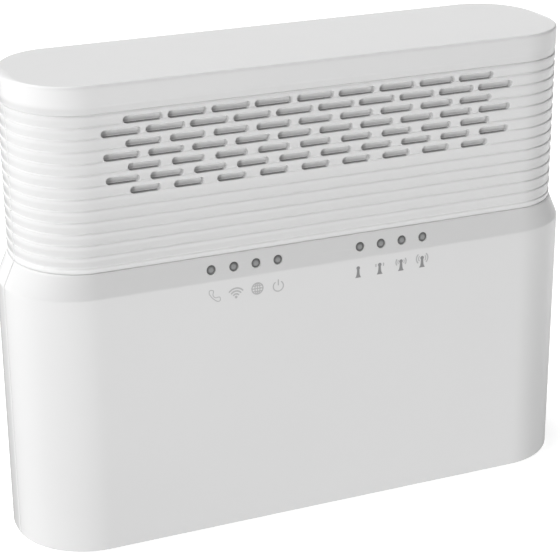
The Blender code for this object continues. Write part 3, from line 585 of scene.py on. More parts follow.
def paint_groove_light(shader, vector, level=0.085):
    """Painted light: an emission at the bottom of each groove that lightens it."""
    calc = shader.calc
    at = shader.xyz(vector)
    turns = calc("DIVIDE", calc("SUBTRACT", (Z_CAP + PITCH) * MM, at["Z"]), PITCH * MM)
    painted_glow = shader.ramp(calc("FRACT", turns), GROOVE_PAINTED_LIGHT)
    across = calc("ABSOLUTE", at["X"])
    near_face = calc("GREATER_THAN", calc("ABSOLUTE", at["Y"]), (UPPER[1] - RIB_BACK - 0.02) * MM)
    on_skin = calc("MAXIMUM", near_face, calc("GREATER_THAN", across, SIDE_X * MM))
    fade = shader.map_range(across, from_min=74.0 * MM, from_max=64.0 * MM)
    for factor in (calc("LESS_THAN", turns, RIBS + 1.0), calc("GREATER_THAN", turns, 0.0),
                   on_skin, fade, level):
        painted_glow = calc("MULTIPLY", painted_glow, factor)
    return painted_glow


def moulded(name, colour, rough=0.42, vary=0.006, grain=0.12, fine=2600.0, spec=0.5,
            paint_height_light=False, slots=False, groove_light=False, painted_top_shade=False):
    """Moulded plastic: faint tone drift, uneven sheen and a fine grain, with optional painted
    light and shade: by height, in the slots, on the level top and in the grooves.
    """
    shader = new_material(name)
    vector = shader.coords()
    painted_glows = []
    drift = shader.noise(vector, scale=22.0, detail=4.0, rough=0.55)
    tone = shader.fade(drift, tuple(c * (1 - vary) for c in colour),
                       tuple(min(1.0, c * (1 + vary)) for c in colour))
    # painted light and shade by height
    if paint_height_light:
        tone = paint_light_by_height(shader, vector, tone)
    # painted shade on the slot walls, and painted bounced light on their end walls
    if slots:
        tone, spec, painted_bounce_light = paint_slot_wall_shade(shader, vector, tone)
        painted_glows.append(painted_bounce_light)
    # painted shade on the level top
    if painted_top_shade:
        tone = paint_top_shade(shader, tone)
    sheen = shader.noise(vector, scale=1400.0, detail=2.0, rough=0.6)
    tiny = shader.noise(vector, scale=fine, detail=2.0, rough=0.5)
    shader.surface({"Base Color": tone,
                    "Roughness": shader.fade(sheen, rough - 0.008, rough + 0.008),
                    "Normal": shader.bump(tiny, grain),
                    "Specular IOR Level": spec})
    # painted light at the groove bottoms
    if groove_light:
        painted_glows.append(paint_groove_light(shader, vector))
    # painted light, given as an emission
    if painted_glows:
        total = painted_glows[0]
        for more in painted_glows[1:]:
            total = shader.calc("ADD", total, more)
        shader.surface({"Emission Color": PAINTED_LIGHT_WHITE, "Emission Strength": total})
    return shader


def metal(name, colour, rough, along):
    """Plated or drawn metal: streaks stretched by the along scale, uneven roughness."""
    shader = new_material(name)
    streak = shader.noise(shader.coords(along), scale=900.0, detail=6.0, rough=0.65)
    shader.surface({"Base Color": shader.fade(streak, tuple(c * 0.86 for c in colour), colour),
                    "Roughness": shader.fade(streak, rough - 0.08, rough + 0.10),
                    "Normal": shader.bump(streak, 0.12),
                    "Metallic": 1.0})


def laminate(name):
    """Printed board: green mask, tracks in a grid of short runs, plated dots."""
    shader = new_material(name)
    vector = shader.coords()
    turned_vector = shader.add("VectorRotate", {"Vector": shader.coords(), "Angle": QUARTER},
                               rotation_type="X_AXIS").outputs["Vector"]
    brick = shader.add("TexBrick", {
        "Vector": turned_vector, "Scale": 210.0, "Mortar Size": 0.035,
        "Color1": (0.015, 0.11, 0.05, 1), "Color2": (0.012, 0.095, 0.045, 1),
        "Mortar": (0.05, 0.22, 0.09, 1)})
    dots = shader.add("TexVoronoi", {"Vector": vector, "Scale": 260.0})
    mask = shader.fade(dots.outputs["Distance"], 1.0, 0.0, start=0.10, end=0.13)
    plated = shader.add("Mix", {0: mask, 6: brick.outputs["Color"], 7: (0.62, 0.60, 0.52, 1)},
                        data_type="RGBA")
    fine = shader.noise(vector, scale=700.0)
    shader.surface({"Base Color": plated.outputs[2],
                    "Roughness": shader.fade(fine, 0.28, 0.42),
                    "Normal": shader.bump(brick.outputs["Fac"], 0.3, 0.00003)})


def smoky(name):
    """Translucent diffuser: mid grey in the middle of each window, with painted shade darkening
    it towards its rim.
    """
    shader = new_material(name)
    calc = shader.calc
    vector = shader.coords()
    at = shader.xyz(vector)
    first = LED_XS[0] * MM
    pitch = (LED_XS[-1] - LED_XS[0]) / (len(LED_XS) - 1) * MM
    along = calc("ADD", calc("ABSOLUTE", at["X"]), pitch / 2 - first)
    across = calc("SUBTRACT", calc("MODULO", along, pitch), pitch / 2)
    up = calc("SUBTRACT", at["Z"], LED_Z * MM)
    radius = calc("SQRT", calc("ADD", calc("MULTIPLY", across, across), calc("MULTIPLY", up, up)))
    share = calc("DIVIDE", radius, WINDOW_R * MM)
    cloud = shader.noise(vector, scale=900.0)
    blurred = calc("ADD", share, calc("MULTIPLY", calc("SUBTRACT", cloud, 0.5), 0.12))
    # painted shade: the window darkens towards its rim
    shader.surface({
        "Base Color": shader.fade(blurred, (0.36, 0.365, 0.365), (0.165, 0.165, 0.165),
                                  start=0.36, end=0.74),
        "Roughness": shader.fade(cloud, 0.25, 0.35),
        "Specular IOR Level": 0.35})


# soft shadow from the left end of a slot: share of the slot pitch, tone
SLOT_SHADOW = ((0.0, 0.60), (0.10, 0.60), (0.131, 0.68), (0.162, 0.86), (0.20, 1.0))
# light from below over one row: share of the pitch downwards, strength
SLOT_LIGHT = ((0.0, 0.0), (0.279, 0.0), (0.353, 0.107), (0.426, 0.115), (0.5, 0.02),
              (0.574, 0.08), (0.647, 0.18), (0.76, 0.18))


def shade_behind_slots(shader, painted_glow=0.13, sink=0.76, shadow_start=0.054, row_shift=0.0165):
    """Shadow and light on the baffle, in step with the rows of slots.

    sink lowers the pattern; the shadow starts row_shift further on with every row."""
    calc = shader.calc
    at = shader.xyz(shader.coords())
    top = (Z_SLOT_TOP + PITCH / 2 - sink) * MM
    rows = calc("DIVIDE", calc("SUBTRACT", top, at["Z"]), PITCH * MM)
    row = calc("FLOOR", rows)
    half = calc("MULTIPLY", calc("MODULO", row, 2.0), 0.5)
    along = calc("DIVIDE", calc("SUBTRACT", at["X"], SLOT_OFFSET * MM), SLOT_PITCH * MM)
    cell = calc("FRACT", calc("ADD", calc("ADD", along, 0.5), half))
    start = calc("ADD", calc("MULTIPLY", row, row_shift), shadow_start)
    shadow = shader.ramp(calc("SUBTRACT", cell, start), SLOT_SHADOW)
    light = shader.ramp(calc("FRACT", rows), SLOT_LIGHT)
    tone = shader.bsdf.inputs["Base Color"].links[0].from_socket
    # painted shadow multiplied into the baffle's tone, and painted light as an emission that
    # makes it glow
    shader.surface({
        "Emission Color": PAINTED_LIGHT_WHITE,
        "Emission Strength": calc("MULTIPLY", calc("ADD", light, painted_glow), shadow),
        "Base Color": shader.multiply(tone, shadow)})


CASE = {"colour": WHITE, "rough": 0.2, "grain": 0.05, "paint_height_light": True}
moulded("cap_plastic", **CASE, groove_light=True, painted_top_shade=True)
moulded("vent_plastic", **CASE, slots=True, groove_light=True)
moulded("case_plastic", **CASE)
moulded("base_plastic", (0.74, 0.74, 0.74), rough=0.5, grain=0.5, fine=1500.0)
moulded("panel_plastic", (0.76, 0.76, 0.76), rough=0.48, grain=0.4, fine=1800.0)
shade_behind_slots(moulded("baffle_plastic", (0.90, 0.90, 0.90), rough=0.5))
moulded("foot_rubber", (0.045, 0.045, 0.047), rough=0.8, vary=0.15, grain=0.8, fine=1200.0,
        spec=0.3)
metal("screw_steel", (0.62, 0.62, 0.64), rough=0.3, along=(1, 1, 6))
laminate("board_laminate")
smoky("guide_clear")
moulded("diode_lens", (0.85, 0.80, 0.55), rough=0.2, vary=0.08)
metal("can_tin", (0.72, 0.72, 0.71), rough=0.32, along=(1, 1, 14))
metal("sink_aluminium", (0.78, 0.79, 0.81), rough=0.36, along=(1, 1, 0.05))
moulded("pad_silicone", (0.30, 0.45, 0.58), rough=0.75, vary=0.08, grain=0.6, fine=900.0,
        spec=0.3)
moulded("switch_plastic", (0.025, 0.025, 0.027), rough=0.42, vary=0.12, grain=0.4)
moulded("jack_plastic", (0.03, 0.03, 0.032), rough=0.38, vary=0.12, grain=0.4)
moulded("button_plastic", (0.33, 0.34, 0.35), rough=0.4, vary=0.03, grain=0.4)
moulded("transformer_body", (0.04, 0.04, 0.045), rough=0.5, vary=0.15, grain=0.6)
moulded("capacitor_sleeve", (0.03, 0.04, 0.14), rough=0.3, vary=0.1, grain=0.2)
moulded("sim_plastic", (0.82, 0.82, 0.81), rough=0.4)
moulded("label_film", WHITE, rough=0.35, vary=0.01, grain=0.15, fine=3500.0)
metal("antenna_metal", (0.86, 0.66, 0.38), rough=0.3, along=(8, 1, 1))
moulded("coax_jacket", (0.56, 0.56, 0.57), rough=0.45, vary=0.05, grain=0.4)
moulded("print_light", (0.50, 0.50, 0.505), rough=0.5, vary=0.04, grain=0.3)
moulded("print_mid", (0.29, 0.29, 0.295), rough=0.5, vary=0.05, grain=0.3)
moulded("print_grey", (0.30, 0.30, 0.31), rough=0.5, vary=0.06, grain=0.3)
moulded("print_dark", (0.12, 0.12, 0.12), rough=0.5, vary=0.06, grain=0.3)
metal("contact_gold", (0.95, 0.74, 0.36), rough=0.2, along=(1, 1, 5))
metal("contact_tin", (0.78, 0.78, 0.77), rough=0.22, along=(1, 1, 5))


def finish(obj, material, replaces=None, body="case", angle=32):
    """Material, shading, the body it rides on and the CAD node it stands for.

    An object that stands for a node takes the slot named after its material."""
    obj.data.materials.clear()
    obj.data.materials.append(MAT[material])
    obj.data.shade_smooth()
    obj.data.set_sharp_from_angle(angle=math.radians(angle))
    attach(obj, body)
    if replaces:
        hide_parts(replaces)


# ------------------------------------------------------------------ ribbed upper shells
def make_vent(where):
    rear = where == "rear"
    shell = half_shell("ribbed_shell_" + where, *vent_section(), rear)
    if not rear:
        pegs = bmesh.new()
        for x, z in PEGS:
            turn_into(pegs, [(0, -21.5), (1.2, -21.5), (1.2, -18.1), (0.9, -17.8), (0, -17.8)],
                      (x, 0, z), "Y", 24)
        carve(shell, pegs, "UNION")
    slots = bmesh.new()
    for row in range(REAR_ROWS if rear else len(SLOT_LENGTHS)):
        count = 9 + row % 2
        for i in range(count):
            slot_into(slots, SLOT_OFFSET + (i - (count - 1) / 2) * SLOT_PITCH,
                      Z_SLOT_TOP - PITCH * row, SLOT_LENGTHS[row], 1 if rear else -1)
    carve(shell, slots)
    finish(shell, "vent_plastic", "vent_cover_" + where, angle=30)
    set_skin_normals(shell)


def make_baffle():
    """Plate behind the front slots, held on the pegs."""
    low, high = cad("vent_baffle")
    baffle = block("slot_baffle", low, high, "Y", 1.5, 0.25)
    holes = bmesh.new()
    for x, z in PEGS:
        prism_into(holes, circle(x, z, 1.45, 32), "Y", low[1] - 1, high[1] + 1)
    carve(baffle, holes)
    finish(baffle, "baffle_plastic", "vent_baffle")


make_vent("front")
make_vent("rear")
make_baffle()

# ------------------------------------------------------------------ top cap
CAP_STEPS = 40                  # per corner of the plan
TOP_EDGE_HEIGHT = 1.2           # rounding of the top edge
TOP_EDGE_WIDTH = 0.35           # along the sides
TOP_EDGE_END_WIDTH = 2.8        # extra at the left and right ends
TOP_EDGE_SPREAD = math.radians(22)
TOP_EDGE_STEPS = 14


def edge_outline(shape, share):
    """Outline drawn in by a share of the top edge's rounding, wider towards the ends."""
    _, _, round_x, round_y = shape
    points = []
    for side, end, angle in corner_angles(CAP_STEPS):
        x, y = corner_point(shape, 0.0, angle, side, end)
        extra = TOP_EDGE_END_WIDTH * math.exp(-(angle / TOP_EDGE_SPREAD) ** 1.6)
        width = (TOP_EDGE_WIDTH + extra) * share
        normal_x, normal_y = math.cos(angle) / round_x, math.sin(angle) / round_y
        size = math.hypot(normal_x, normal_y)
        points.append((x - side * width * normal_x / size, y - end * width * normal_y / size))
    return points


def make_cap():
    rings = [ring_at(edge_outline(UPPER, 2.0), "Z", Z_TOP)]
    for i in range(TOP_EDGE_STEPS + 1):
        angle = QUARTER * i / TOP_EDGE_STEPS
        rings.append(ring_at(edge_outline(UPPER, 1 - math.sin(angle)), "Z",
                             Z_TOP - TOP_EDGE_HEIGHT * (1 - math.cos(angle))))
    # down the outside, round the lower rim and up the inside: inset, height
    levels = [(0.0, Z_TOP - TOP_EDGE_HEIGHT - 0.15), (0.0, Z_CAP + PITCH * 0.92)]
    levels += [(depth, Z_CAP + PITCH * (1 - share)) for share, depth in RIB_KNOTS[1:11]]
    levels += [(RIB_BACK, Z_PART + 0.04), (RIB_BACK + 0.04, Z_PART + 0.008),
               (WALL, Z_PART + 0.008), (WALL, Z_TOP - 2.6), (WALL + 0.5, Z_TOP - 2.3),
               (WALL + 1.5, Z_TOP - 2.2)]
    rings += [ring_at(full_outline(UPPER, inset, CAP_STEPS), "Z", z) for inset, z in levels]
    finish(loft("cap_shell", rings), "cap_plastic", "top_cap")


make_cap()


# ------------------------------------------------------------------ lower shells
def band(z):
    """Plan shape of the band between the crease and the waist."""
    return mix(LOWER, UPPER, (z - CREASE) / (BAND_TOP - CREASE))


def case_section(foot_round=0.4, reach=0.4):
    """Outer and inner rows of the smooth shells; reach is half the height of the crease."""
    outer = []
    for i in range(9):
        angle = QUARTER * i / 8
        outer.append((LOWER, foot_round * (1 - math.sin(angle)),
                      Z_CASE + foot_round * (1 - math.cos(angle))))
    outer += [(LOWER, 0.0, CREASE - reach - 0.3), (LOWER, 0.0, CREASE - reach)]
    for i in range(1, 6):
        # quadratic blend from the wall to the band
        share = i / 6
        shape = mix(LOWER, UPPER, share * share * reach / (BAND_TOP - CREASE))
        outer.append((shape, 0.0, CREASE - reach + 2 * reach * share))
    for z in (CREASE + reach, CREASE + reach + 0.3, 83.0, 85.5, 87.5, BAND_TOP - 0.2):
        outer.append((band(z), 0.0, z))
    outer += [(band(BAND_TOP), 0.05, BAND_TOP - 0.07), (band(BAND_TOP), 0.17, BAND_TOP)]
    inner = [(UPPER, WALL, BAND_TOP), (LOWER, WALL, INNER_CREASE), (LOWER, WALL, Z_CASE)]
    return outer, inner


def band_ring(x, radius, behind):
    """Ring round an indicator that follows the band, a distance behind its front."""
    return [(px, behind - band(pz)[1], pz) for px, pz in circle(x, LED_Z, radius, 40)]


SCREW_X, SCREW_Y = middle("base_screw_front_right")[0], -middle("base_screw_front_right")[1]
BOARD_SCREWS = [middle("board_screw_%s_right" % level)[::2] for level in ("lower", "upper")]
SIM_Y, SIM_Z = middle("sim_card")[1:]
BAY_HALF, BAY_LOW, BAY_HIGH = 52.0, 10.0, 38.0      # opening for the socket panel
BAY_MID = (BAY_LOW + BAY_HIGH) / 2
LABEL_Z = 58.0
# rim of an indicator hole: growth, distance behind the band
HOLE_RIM = ((0.08, -3.0), (0.08, -0.03), (0.04, 0.0), (0.015, 0.02), (0.0, 0.06), (0.0, 4.0))


def screw_post_into(mesh, x, y_low):
    block_into(mesh, (x - 3, y_low, 3.9), (x + 3, y_low + 8.0, 15.0), "Z", 1.0, 0.25)


def screw_hole_into(mesh, x, y):
    prism_into(mesh, circle(x, y, 1.45, 24), "Z", 3.0, 13.0)


def make_front_shell():
    front = half_shell("smooth_shell_front", *case_section(), False)
    posts, cuts = bmesh.new(), bmesh.new()
    for side in (-1, 1):
        screw_post_into(posts, side * SCREW_X, -22.4)
        screw_hole_into(cuts, side * SCREW_X, -SCREW_Y)
    for x in LEDS:
        loft_into(cuts, [band_ring(x, HOLE_R + growth, behind) for growth, behind in HOLE_RIM])
    carve(front, posts, "UNION")
    carve(front, cuts)
    finish(front, "case_plastic", "front_cover", angle=25)


def make_rear_shell():
    rear = half_shell("smooth_shell_rear", *case_section(), True)
    posts, cuts, notch = bmesh.new(), bmesh.new(), bmesh.new()
    for side in (-1, 1):
        screw_post_into(posts, side * SCREW_X, 14.4)
        screw_hole_into(cuts, side * SCREW_X, SCREW_Y)
        for x, z in BOARD_SCREWS:
            turn_into(posts, [(0, 3.1), (2.8, 3.1), (3.0, 3.3), (3.0, 22.0), (0, 22.0)],
                      (side * x, 0, z), "Y", 32)
            prism_into(cuts, circle(side * x, z, 1.45, 24), "Y", 2.0, 11.0)
    # panel bay, label recess and card slot
    prism_into(cuts, rounded_rect(BAY_HALF, (BAY_HIGH - BAY_LOW) / 2, 1.6, 8, (0, BAY_MID)),
               "Y", 19.0, 26.5, 0.3, LOWER[1])
    prism_into(cuts, rounded_rect(30.3, 12.3, 1.3, 8, (0, LABEL_Z)),
               "Y", 23.26, 26.0, 0.08, LOWER[1])
    prism_into(cuts, rounded_rect(0.8, 7.9, 0.5, 5, (SIM_Y, SIM_Z)), "X", 80.0, 94.0)
    # round notch over the card's outer end
    notch_profile = soften([(0, -4.0, 0), (6.0, -4.0, 0.8), (6.0, 4.0, 0.8), (0, 4.0, 0)])
    turn_into(notch, notch_profile, (94.9, SIM_Y, SIM_Z), "Z", 72)
    carve(rear, posts, "UNION")
    carve(rear, cuts)
    carve(rear, notch)
    finish(rear, "case_plastic", "rear_cover", angle=25)


make_front_shell()
make_rear_shell()

# ------------------------------------------------------------------ base plate, feet, screws
FOOT_X, FOOT_Y = middle("foot_front_right")[0], -middle("foot_front_right")[1]
CORNERS = [(side, end) for side in (-1, 1) for end in (-1, 1)]


def make_base(edge=0.4):
    rings = []
    for i in range(4):
        angle = QUARTER * i / 3
        outline = full_outline(LOWER, WALL + GAP + edge * (1 - math.sin(angle)))
        rings.append(ring_at(outline, "Z", 1.3 + edge * (1 - math.cos(angle))))
    rings.append(ring_at(full_outline(LOWER, WALL + GAP), "Z", 3.6))
    base = loft("base_panel", rings)
    wells, through = bmesh.new(), bmesh.new()
    for side, end in CORNERS:
        x, y = side * SCREW_X, end * SCREW_Y
        prism_into(wells, circle(side * FOOT_X, end * FOOT_Y, 5.3), "Z", 1.9, 0.5)
        prism_into(wells, circle(x, y, 3.0, 40), "Z", 2.7, 0.5)
        prism_into(through, circle(x, y, 1.6, 24), "Z", 2.0, 4.5)
    # two rows of long slots
    for y in (-5.0, 5.0):
        for i in range(6):
            prism_into(wells, rounded_rect(7, 1, 0.98, 8, (-45 + 18 * i, y)), "Z", 0.5, 4.5)
    carve(base, wells)
    carve(base, through)
    finish(base, "base_plastic", "base_plate")


# radius, height, rounding
FOOT_PROFILE = ((0, 1.8, 0), (5.0, 1.8, 0.25), (5.0, 0.35, 0.25), (4.6, 0.0, 0.2),
                (3.2, 0.0, 0.1), (2.9, 0.12, 0.1), (0, 0.12, 0))


def base_screw(where, x, y, head=2.7, shank=1.3, tip=12.0, under=2.6, face=1.5):
    """Pan-head screw, head down, with a cross recess; tip, under and face are heights."""
    profile = soften([(0, tip, 0), (0.35, tip, 0.2), (shank, tip - 1.4, 0.3),
                      (shank, under, 0.05), (head, under, 0.06), (head, under - 0.35, 0.3),
                      (head * 0.72, face, 0.5), (0, face, 0)])
    screw = turned("base_bolt_" + where, profile, (x, y, 0.0), "Z", 40)
    long, short = head * 0.62, 0.28
    for half_x, half_y in ((long, short), (short, long)):
        # share of the half sizes along X, along Y, height
        levels = ((1.15, 1.0, face - 0.4), (1.0, 1.0, face), (0.45, 0.8, face + 0.95))
        recess = bmesh.new()
        loft_into(recess, [
            ring_at(rounded_rect(half_x * share_x, half_y * share_y, 0.1, 3, (x, y)), "Z", z)
            for share_x, share_y, z in levels])
        carve(screw, recess)
    finish(screw, "screw_steel", "base_screw_" + where, angle=35)


make_base()
for side, end, where in ((-1, -1, "front_left"), (1, -1, "front_right"),
                         (-1, 1, "rear_left"), (1, 1, "rear_right")):
    foot = turned("foot_pad_" + where, soften(FOOT_PROFILE),
                  (side * FOOT_X, end * FOOT_Y, 0.0), "Z", 64)
    finish(foot, "foot_rubber", "foot_" + where)
    base_screw(where, side * SCREW_X, end * SCREW_Y)

# ------------------------------------------------------------------ indicator windows
# domed face of a window: radius, distance behind its crown
WINDOW_DOME = ((0.02, 0.0), (0.55, 0.01), (0.85, 0.06), (1.15, 0.16), (1.30, 0.26),
               (WINDOW_R, 0.40))
# shaft behind it: radius, y
WINDOW_SHAFT = ((WINDOW_R, -20.0), (WINDOW_R, -8.0), (WINDOW_R, -5.2), (1.5, -4.4),
                (1.5, -2.0), (1.45, 0.0))


def make_light_pipe(where, side):
    xs = sorted(x for x in LEDS if x * side > 0)
    guide = block("light_pipe_" + where, (xs[0] - 1.9, -7.0, LED_Z - 1.2),
                  (xs[-1] + 1.9, -4.6, LED_Z + 1.2), "Y", 0.6, 0.2)
    prongs = bmesh.new()
    for x in xs:
        rings = [band_ring(x, radius, 0.12 + behind) for radius, behind in WINDOW_DOME]
        rings += [ring_at(circle(x, LED_Z, radius, 40), "Y", y) for radius, y in WINDOW_SHAFT]
        loft_into(prongs, rings)
    carve(guide, prongs, "UNION")
    finish(guide, "guide_clear", "light_guide_" + where, angle=40)


make_light_pipe("left", -1)
make_light_pipe("right", 1)


# ------------------------------------------------------------------ printed symbols
def ribbon(points, width, closed=False, round_ends=True):
    """One polygon of an open stroke, or the two edges of a closed one as a tuple."""
    half = width / 2
    left, right = stroke_sides(points, [half] * len(points), closed)
    if closed:
        return left, right

    def end_cap(tip, before):
        if not round_ends:
            return []
        along = (Vector(tip) - Vector(before)).normalized()
        start = math.atan2(along.y, along.x) - QUARTER
        return arc(Vector(tip), half, start, math.pi, 6)[1:-1]

    return (right + end_cap(points[-1], points[-2]) + left[::-1]
            + end_cap(points[0], points[1]))


def line(points, width):
    return ribbon(points, width, round_ends=False)


def ink_into(mesh, shape, centre, y_low, y_high, size=1.0, mirror=1.0):
    """Thin printed film of one polygon or of a closed stroke."""
    def ring(points, y):
        return [(centre[0] + mirror * (x * size), y, centre[1] + z * size) for x, z in points]

    if isinstance(shape, tuple):
        outer, inner = shape
        loft_into(mesh, [ring(outer, y_low), ring(outer, y_high),
                         ring(inner, y_high), ring(inner, y_low)], looped=True)
    else:
        loft_into(mesh, [ring(shape, y_low), ring(shape, y_high)])


def arc_path(radius, start, end, steps, rise=0.0):
    """Arc between two angles in degrees, its centre raised from the symbol's."""
    return arc((0.0, rise), radius, math.radians(start), math.radians(end - start), steps)


# centre line of the handset, along the falling diagonal: across, up, half width
HANDSET = ((-1.10, 1.85, 0.55), (-1.25, 1.30, 0.80), (-1.28, 0.65, 0.62), (-1.05, -0.10, 0.34),
           (-0.50, -0.85, 0.30), (0.20, -1.32, 0.42), (0.95, -1.50, 0.78), (1.75, -1.42, 0.60))


def handset():
    left, right = stroke_sides([row[:2] for row in HANDSET], [row[2] for row in HANDSET])
    path = right + left[::-1]
    # two passes of corner cutting round it off
    for _ in range(2):
        path = [q for p, after in zip(path, path[1:] + path[:1])
                for q in (p * 0.75 + after * 0.25, p * 0.25 + after * 0.75)]
    return path


def mast():
    left = [(-0.40, 0.75), (-0.42, 0.1), (-0.50, -0.7), (-0.66, -1.25), (-0.98, -1.80)]
    return arc_path(0.60, -45, 225, 12, 1.25) + left + [(-x, z) for x, z in reversed(left)]


def wave_pair(radius, half, width):
    """Arcs to the right and left of a mast's head, each to half degrees off the level."""
    return [ribbon(arc_path(radius, start, end, 8, 1.1), width)
            for start, end in ((half, -half), (180 - half, 180 + half))]


# strokes and areas of each symbol about its own centre
SYMBOLS = {
    "handset": [ribbon(handset(), 0.30, True)],
    "waves": [ribbon(arc_path(radius, 42, 138, 20, -1.45), 0.42) for radius in (0.98, 1.83, 2.68)]
             + [circle(0, -1.42, 0.40, 20)],
    "globe": [ribbon(circle(0, 0, 1.74, 36), 0.34, True),
              ribbon([(0.46 * x, z) for x, z in circle(0, 0, 1.70, 36)], 0.3, True),
              line([(0, -1.7), (0, 0), (0, 1.7)], 0.3),
              line([(-1.7, 0), (0, 0), (1.7, 0)], 0.3),
              line([(-1.46, 0.88), (0, 0.88), (1.46, 0.88)], 0.3),
              line([(-1.46, -0.88), (0, -0.88), (1.46, -0.88)], 0.3)],
    "power": [ribbon(arc_path(1.60, 128, 412, 30), 0.36),
              ribbon([(0, 0.35), (0, 1.0), (0, 1.95)], 0.36)],
    "mast": [mast()],
    "around_2": [ribbon([(side * 1.25, 0.85), (side * 1.28, 1.15), (side * 1.25, 1.5)], 0.42)
                 for side in (-1, 1)],
    "around_3": wave_pair(1.05, 28, 0.30) + wave_pair(1.68, 30, 0.42),
    "around_4": wave_pair(1.2, 36, 0.32) + wave_pair(1.92, 42, 0.42),
    "network": [rounded_rect(0.62, 0.5, 0.1, 2, centre)
                for centre in ((0, 1.15), (-1.25, -1.15), (1.25, -1.15))]
               + [line([(0, 0.6), (0, 0.3), (0, 0.0)], 0.22),
                  line([(-1.36, 0.0), (0, 0.0), (1.36, 0.0)], 0.22),
                  line([(-1.25, -0.05), (-1.25, -0.4), (-1.25, -0.7)], 0.22),
                  line([(1.25, -0.05), (1.25, -0.4), (1.25, -0.7)], 0.22)],
    "direct": [line([(-1.5, 0.35), (0, 0.35), (1.5, 0.35)], 0.25)]
              + [line([(x - 0.35, -0.35), (x, -0.35), (x + 0.35, -0.35)], 0.25)
                 for x in (-1.15, 0, 1.15)],
    "restart": [ribbon(arc_path(1.25, 70, -220, 24), 0.25),
                [(0.05, 1.85), (1.15, 1.25), (0.1, 0.62)]],
}


def print_symbol(name, kind, x, z, surface, material, size=1.0, rear=False):
    """Symbol just proud of its surface; strokes step apart so that none coincide."""
    mesh = bmesh.new()
    out = 1 if rear else -1
    for i, shape in enumerate(SYMBOLS[kind]):
        ink_into(mesh, shape, (x, z), surface - out * 0.01,
                 surface + out * (0.012 + 0.0015 * i), size, -out)
    finish(new_object(name, mesh), material, angle=40)


FRONT_Y = -LOWER[1]
MARK_Z = 76.6
for kind, x, z, size in (("handset", -33.2, MARK_Z, 0.92), ("waves", -26.7, 76.5, 1.05),
                         ("globe", -20.0, MARK_Z, 1.0), ("power", -13.4, 76.3, 1.0)):
    print_symbol("symbol_" + kind, kind, x, z, FRONT_Y, "print_light", size)
for i, x in enumerate((12.4, 19.5, 26.6, 33.7), start=1):
    print_symbol("symbol_mast_%d" % i, "mast", x, MARK_Z, FRONT_Y, "print_mid")
    if i > 1:
        print_symbol("symbol_mast_%d_waves" % i, "around_%d" % i, x, MARK_Z, FRONT_Y,
                     "print_light")

# ------------------------------------------------------------------ socket panel at the rear
PANEL_IN = cad("port_panel")[0][1]
PANEL_OUT = PANEL_IN + 1.5
PORT_Z = middle("power_socket")[2]
LAN_XS = [middle("network_socket_1")[0], middle("network_socket_2")[0]]
PHONE_X = middle("telephone_socket")[0]
DC_X = middle("power_socket")[0]
POWER_X = middle("power_button")[0]
PAIR_X = middle("pairing_button")[0]
RESET_X = middle("reset_pin")[0]


def make_panel():
    panel = block("socket_panel", (-BAY_HALF + GAP, PANEL_IN, BAY_LOW + GAP),
                  (BAY_HALF - GAP, 23.3, BAY_HIGH - GAP), "Y", 1.35, 0.2, 8)
    flange, hollow, openings = bmesh.new(), bmesh.new(), bmesh.new()
    block_into(flange, (-BAY_HALF - 2.0, 19.8, BAY_LOW - 2.0),
               (BAY_HALF + 2.0, 21.36, BAY_HIGH + 2.0), "Y", 2.5, 0.15, 8)
    # hollow inside the raised border: inset, y
    rim = GAP + 1.5
    loft_into(hollow, [
        ring_at(rounded_rect(BAY_HALF - rim - inset, (BAY_HIGH - BAY_LOW) / 2 - rim - inset,
                             1.0, 8, (0, BAY_MID)), "Y", y)
        for inset, y in ((0.0, 26.0), (0.0, PANEL_OUT + 0.6), (0.18, PANEL_OUT + 0.18),
                         (0.6, PANEL_OUT))])
    outlines = [rounded_rect(half_x, half_z, 0.5, 5, (x, PORT_Z)) for x, half_x, half_z in (
        (LAN_XS[0], 8.5, 7.3), (LAN_XS[1], 8.5, 7.3), (PHONE_X, 7.05, 7.3), (DC_X, 4.8, 5.8))]
    outlines += [circle(x, PORT_Z, radius, count) for x, radius, count in (
        (POWER_X, 4.5, 56), (PAIR_X, 3.1, 48), (RESET_X, 0.9, 32))]
    for outline in outlines:
        prism_into(openings, outline, "Y", PANEL_IN - 1.0, PANEL_OUT + 1.5, 0.2, PANEL_OUT)
    carve(panel, flange, "UNION")
    carve(panel, hollow)
    carve(panel, openings)
    finish(panel, "panel_plastic", "port_panel", angle=30)


make_panel()
for name, kind, x in (("mark_network_1", "network", LAN_XS[0]),
                      ("mark_network_2", "network", LAN_XS[1]),
                      ("mark_handset", "handset", PHONE_X), ("mark_direct", "direct", DC_X),
                      ("mark_restart", "restart", RESET_X), ("mark_waves", "waves", PAIR_X)):
    print_symbol(name, kind, x, PORT_Z + 10.3, PANEL_OUT, "print_dark", 0.72, True)

# ------------------------------------------------------------------ sockets
SOCKET_DEPTH = 12.0
# steps of a mouth: half width, top and bottom from the socket's middle
LAN_MOUTH = ((5.95, 4.4, -2.6), (3.1, -1.0, -4.2), (1.7, -2.0, -5.6))
PHONE_MOUTH = ((4.9, 4.4, -2.4), (3.0, -1.0, -4.0), (1.6, -2.0, -5.2))
WIRE_HALF_X, WIRE_HALF = 0.17, 0.15


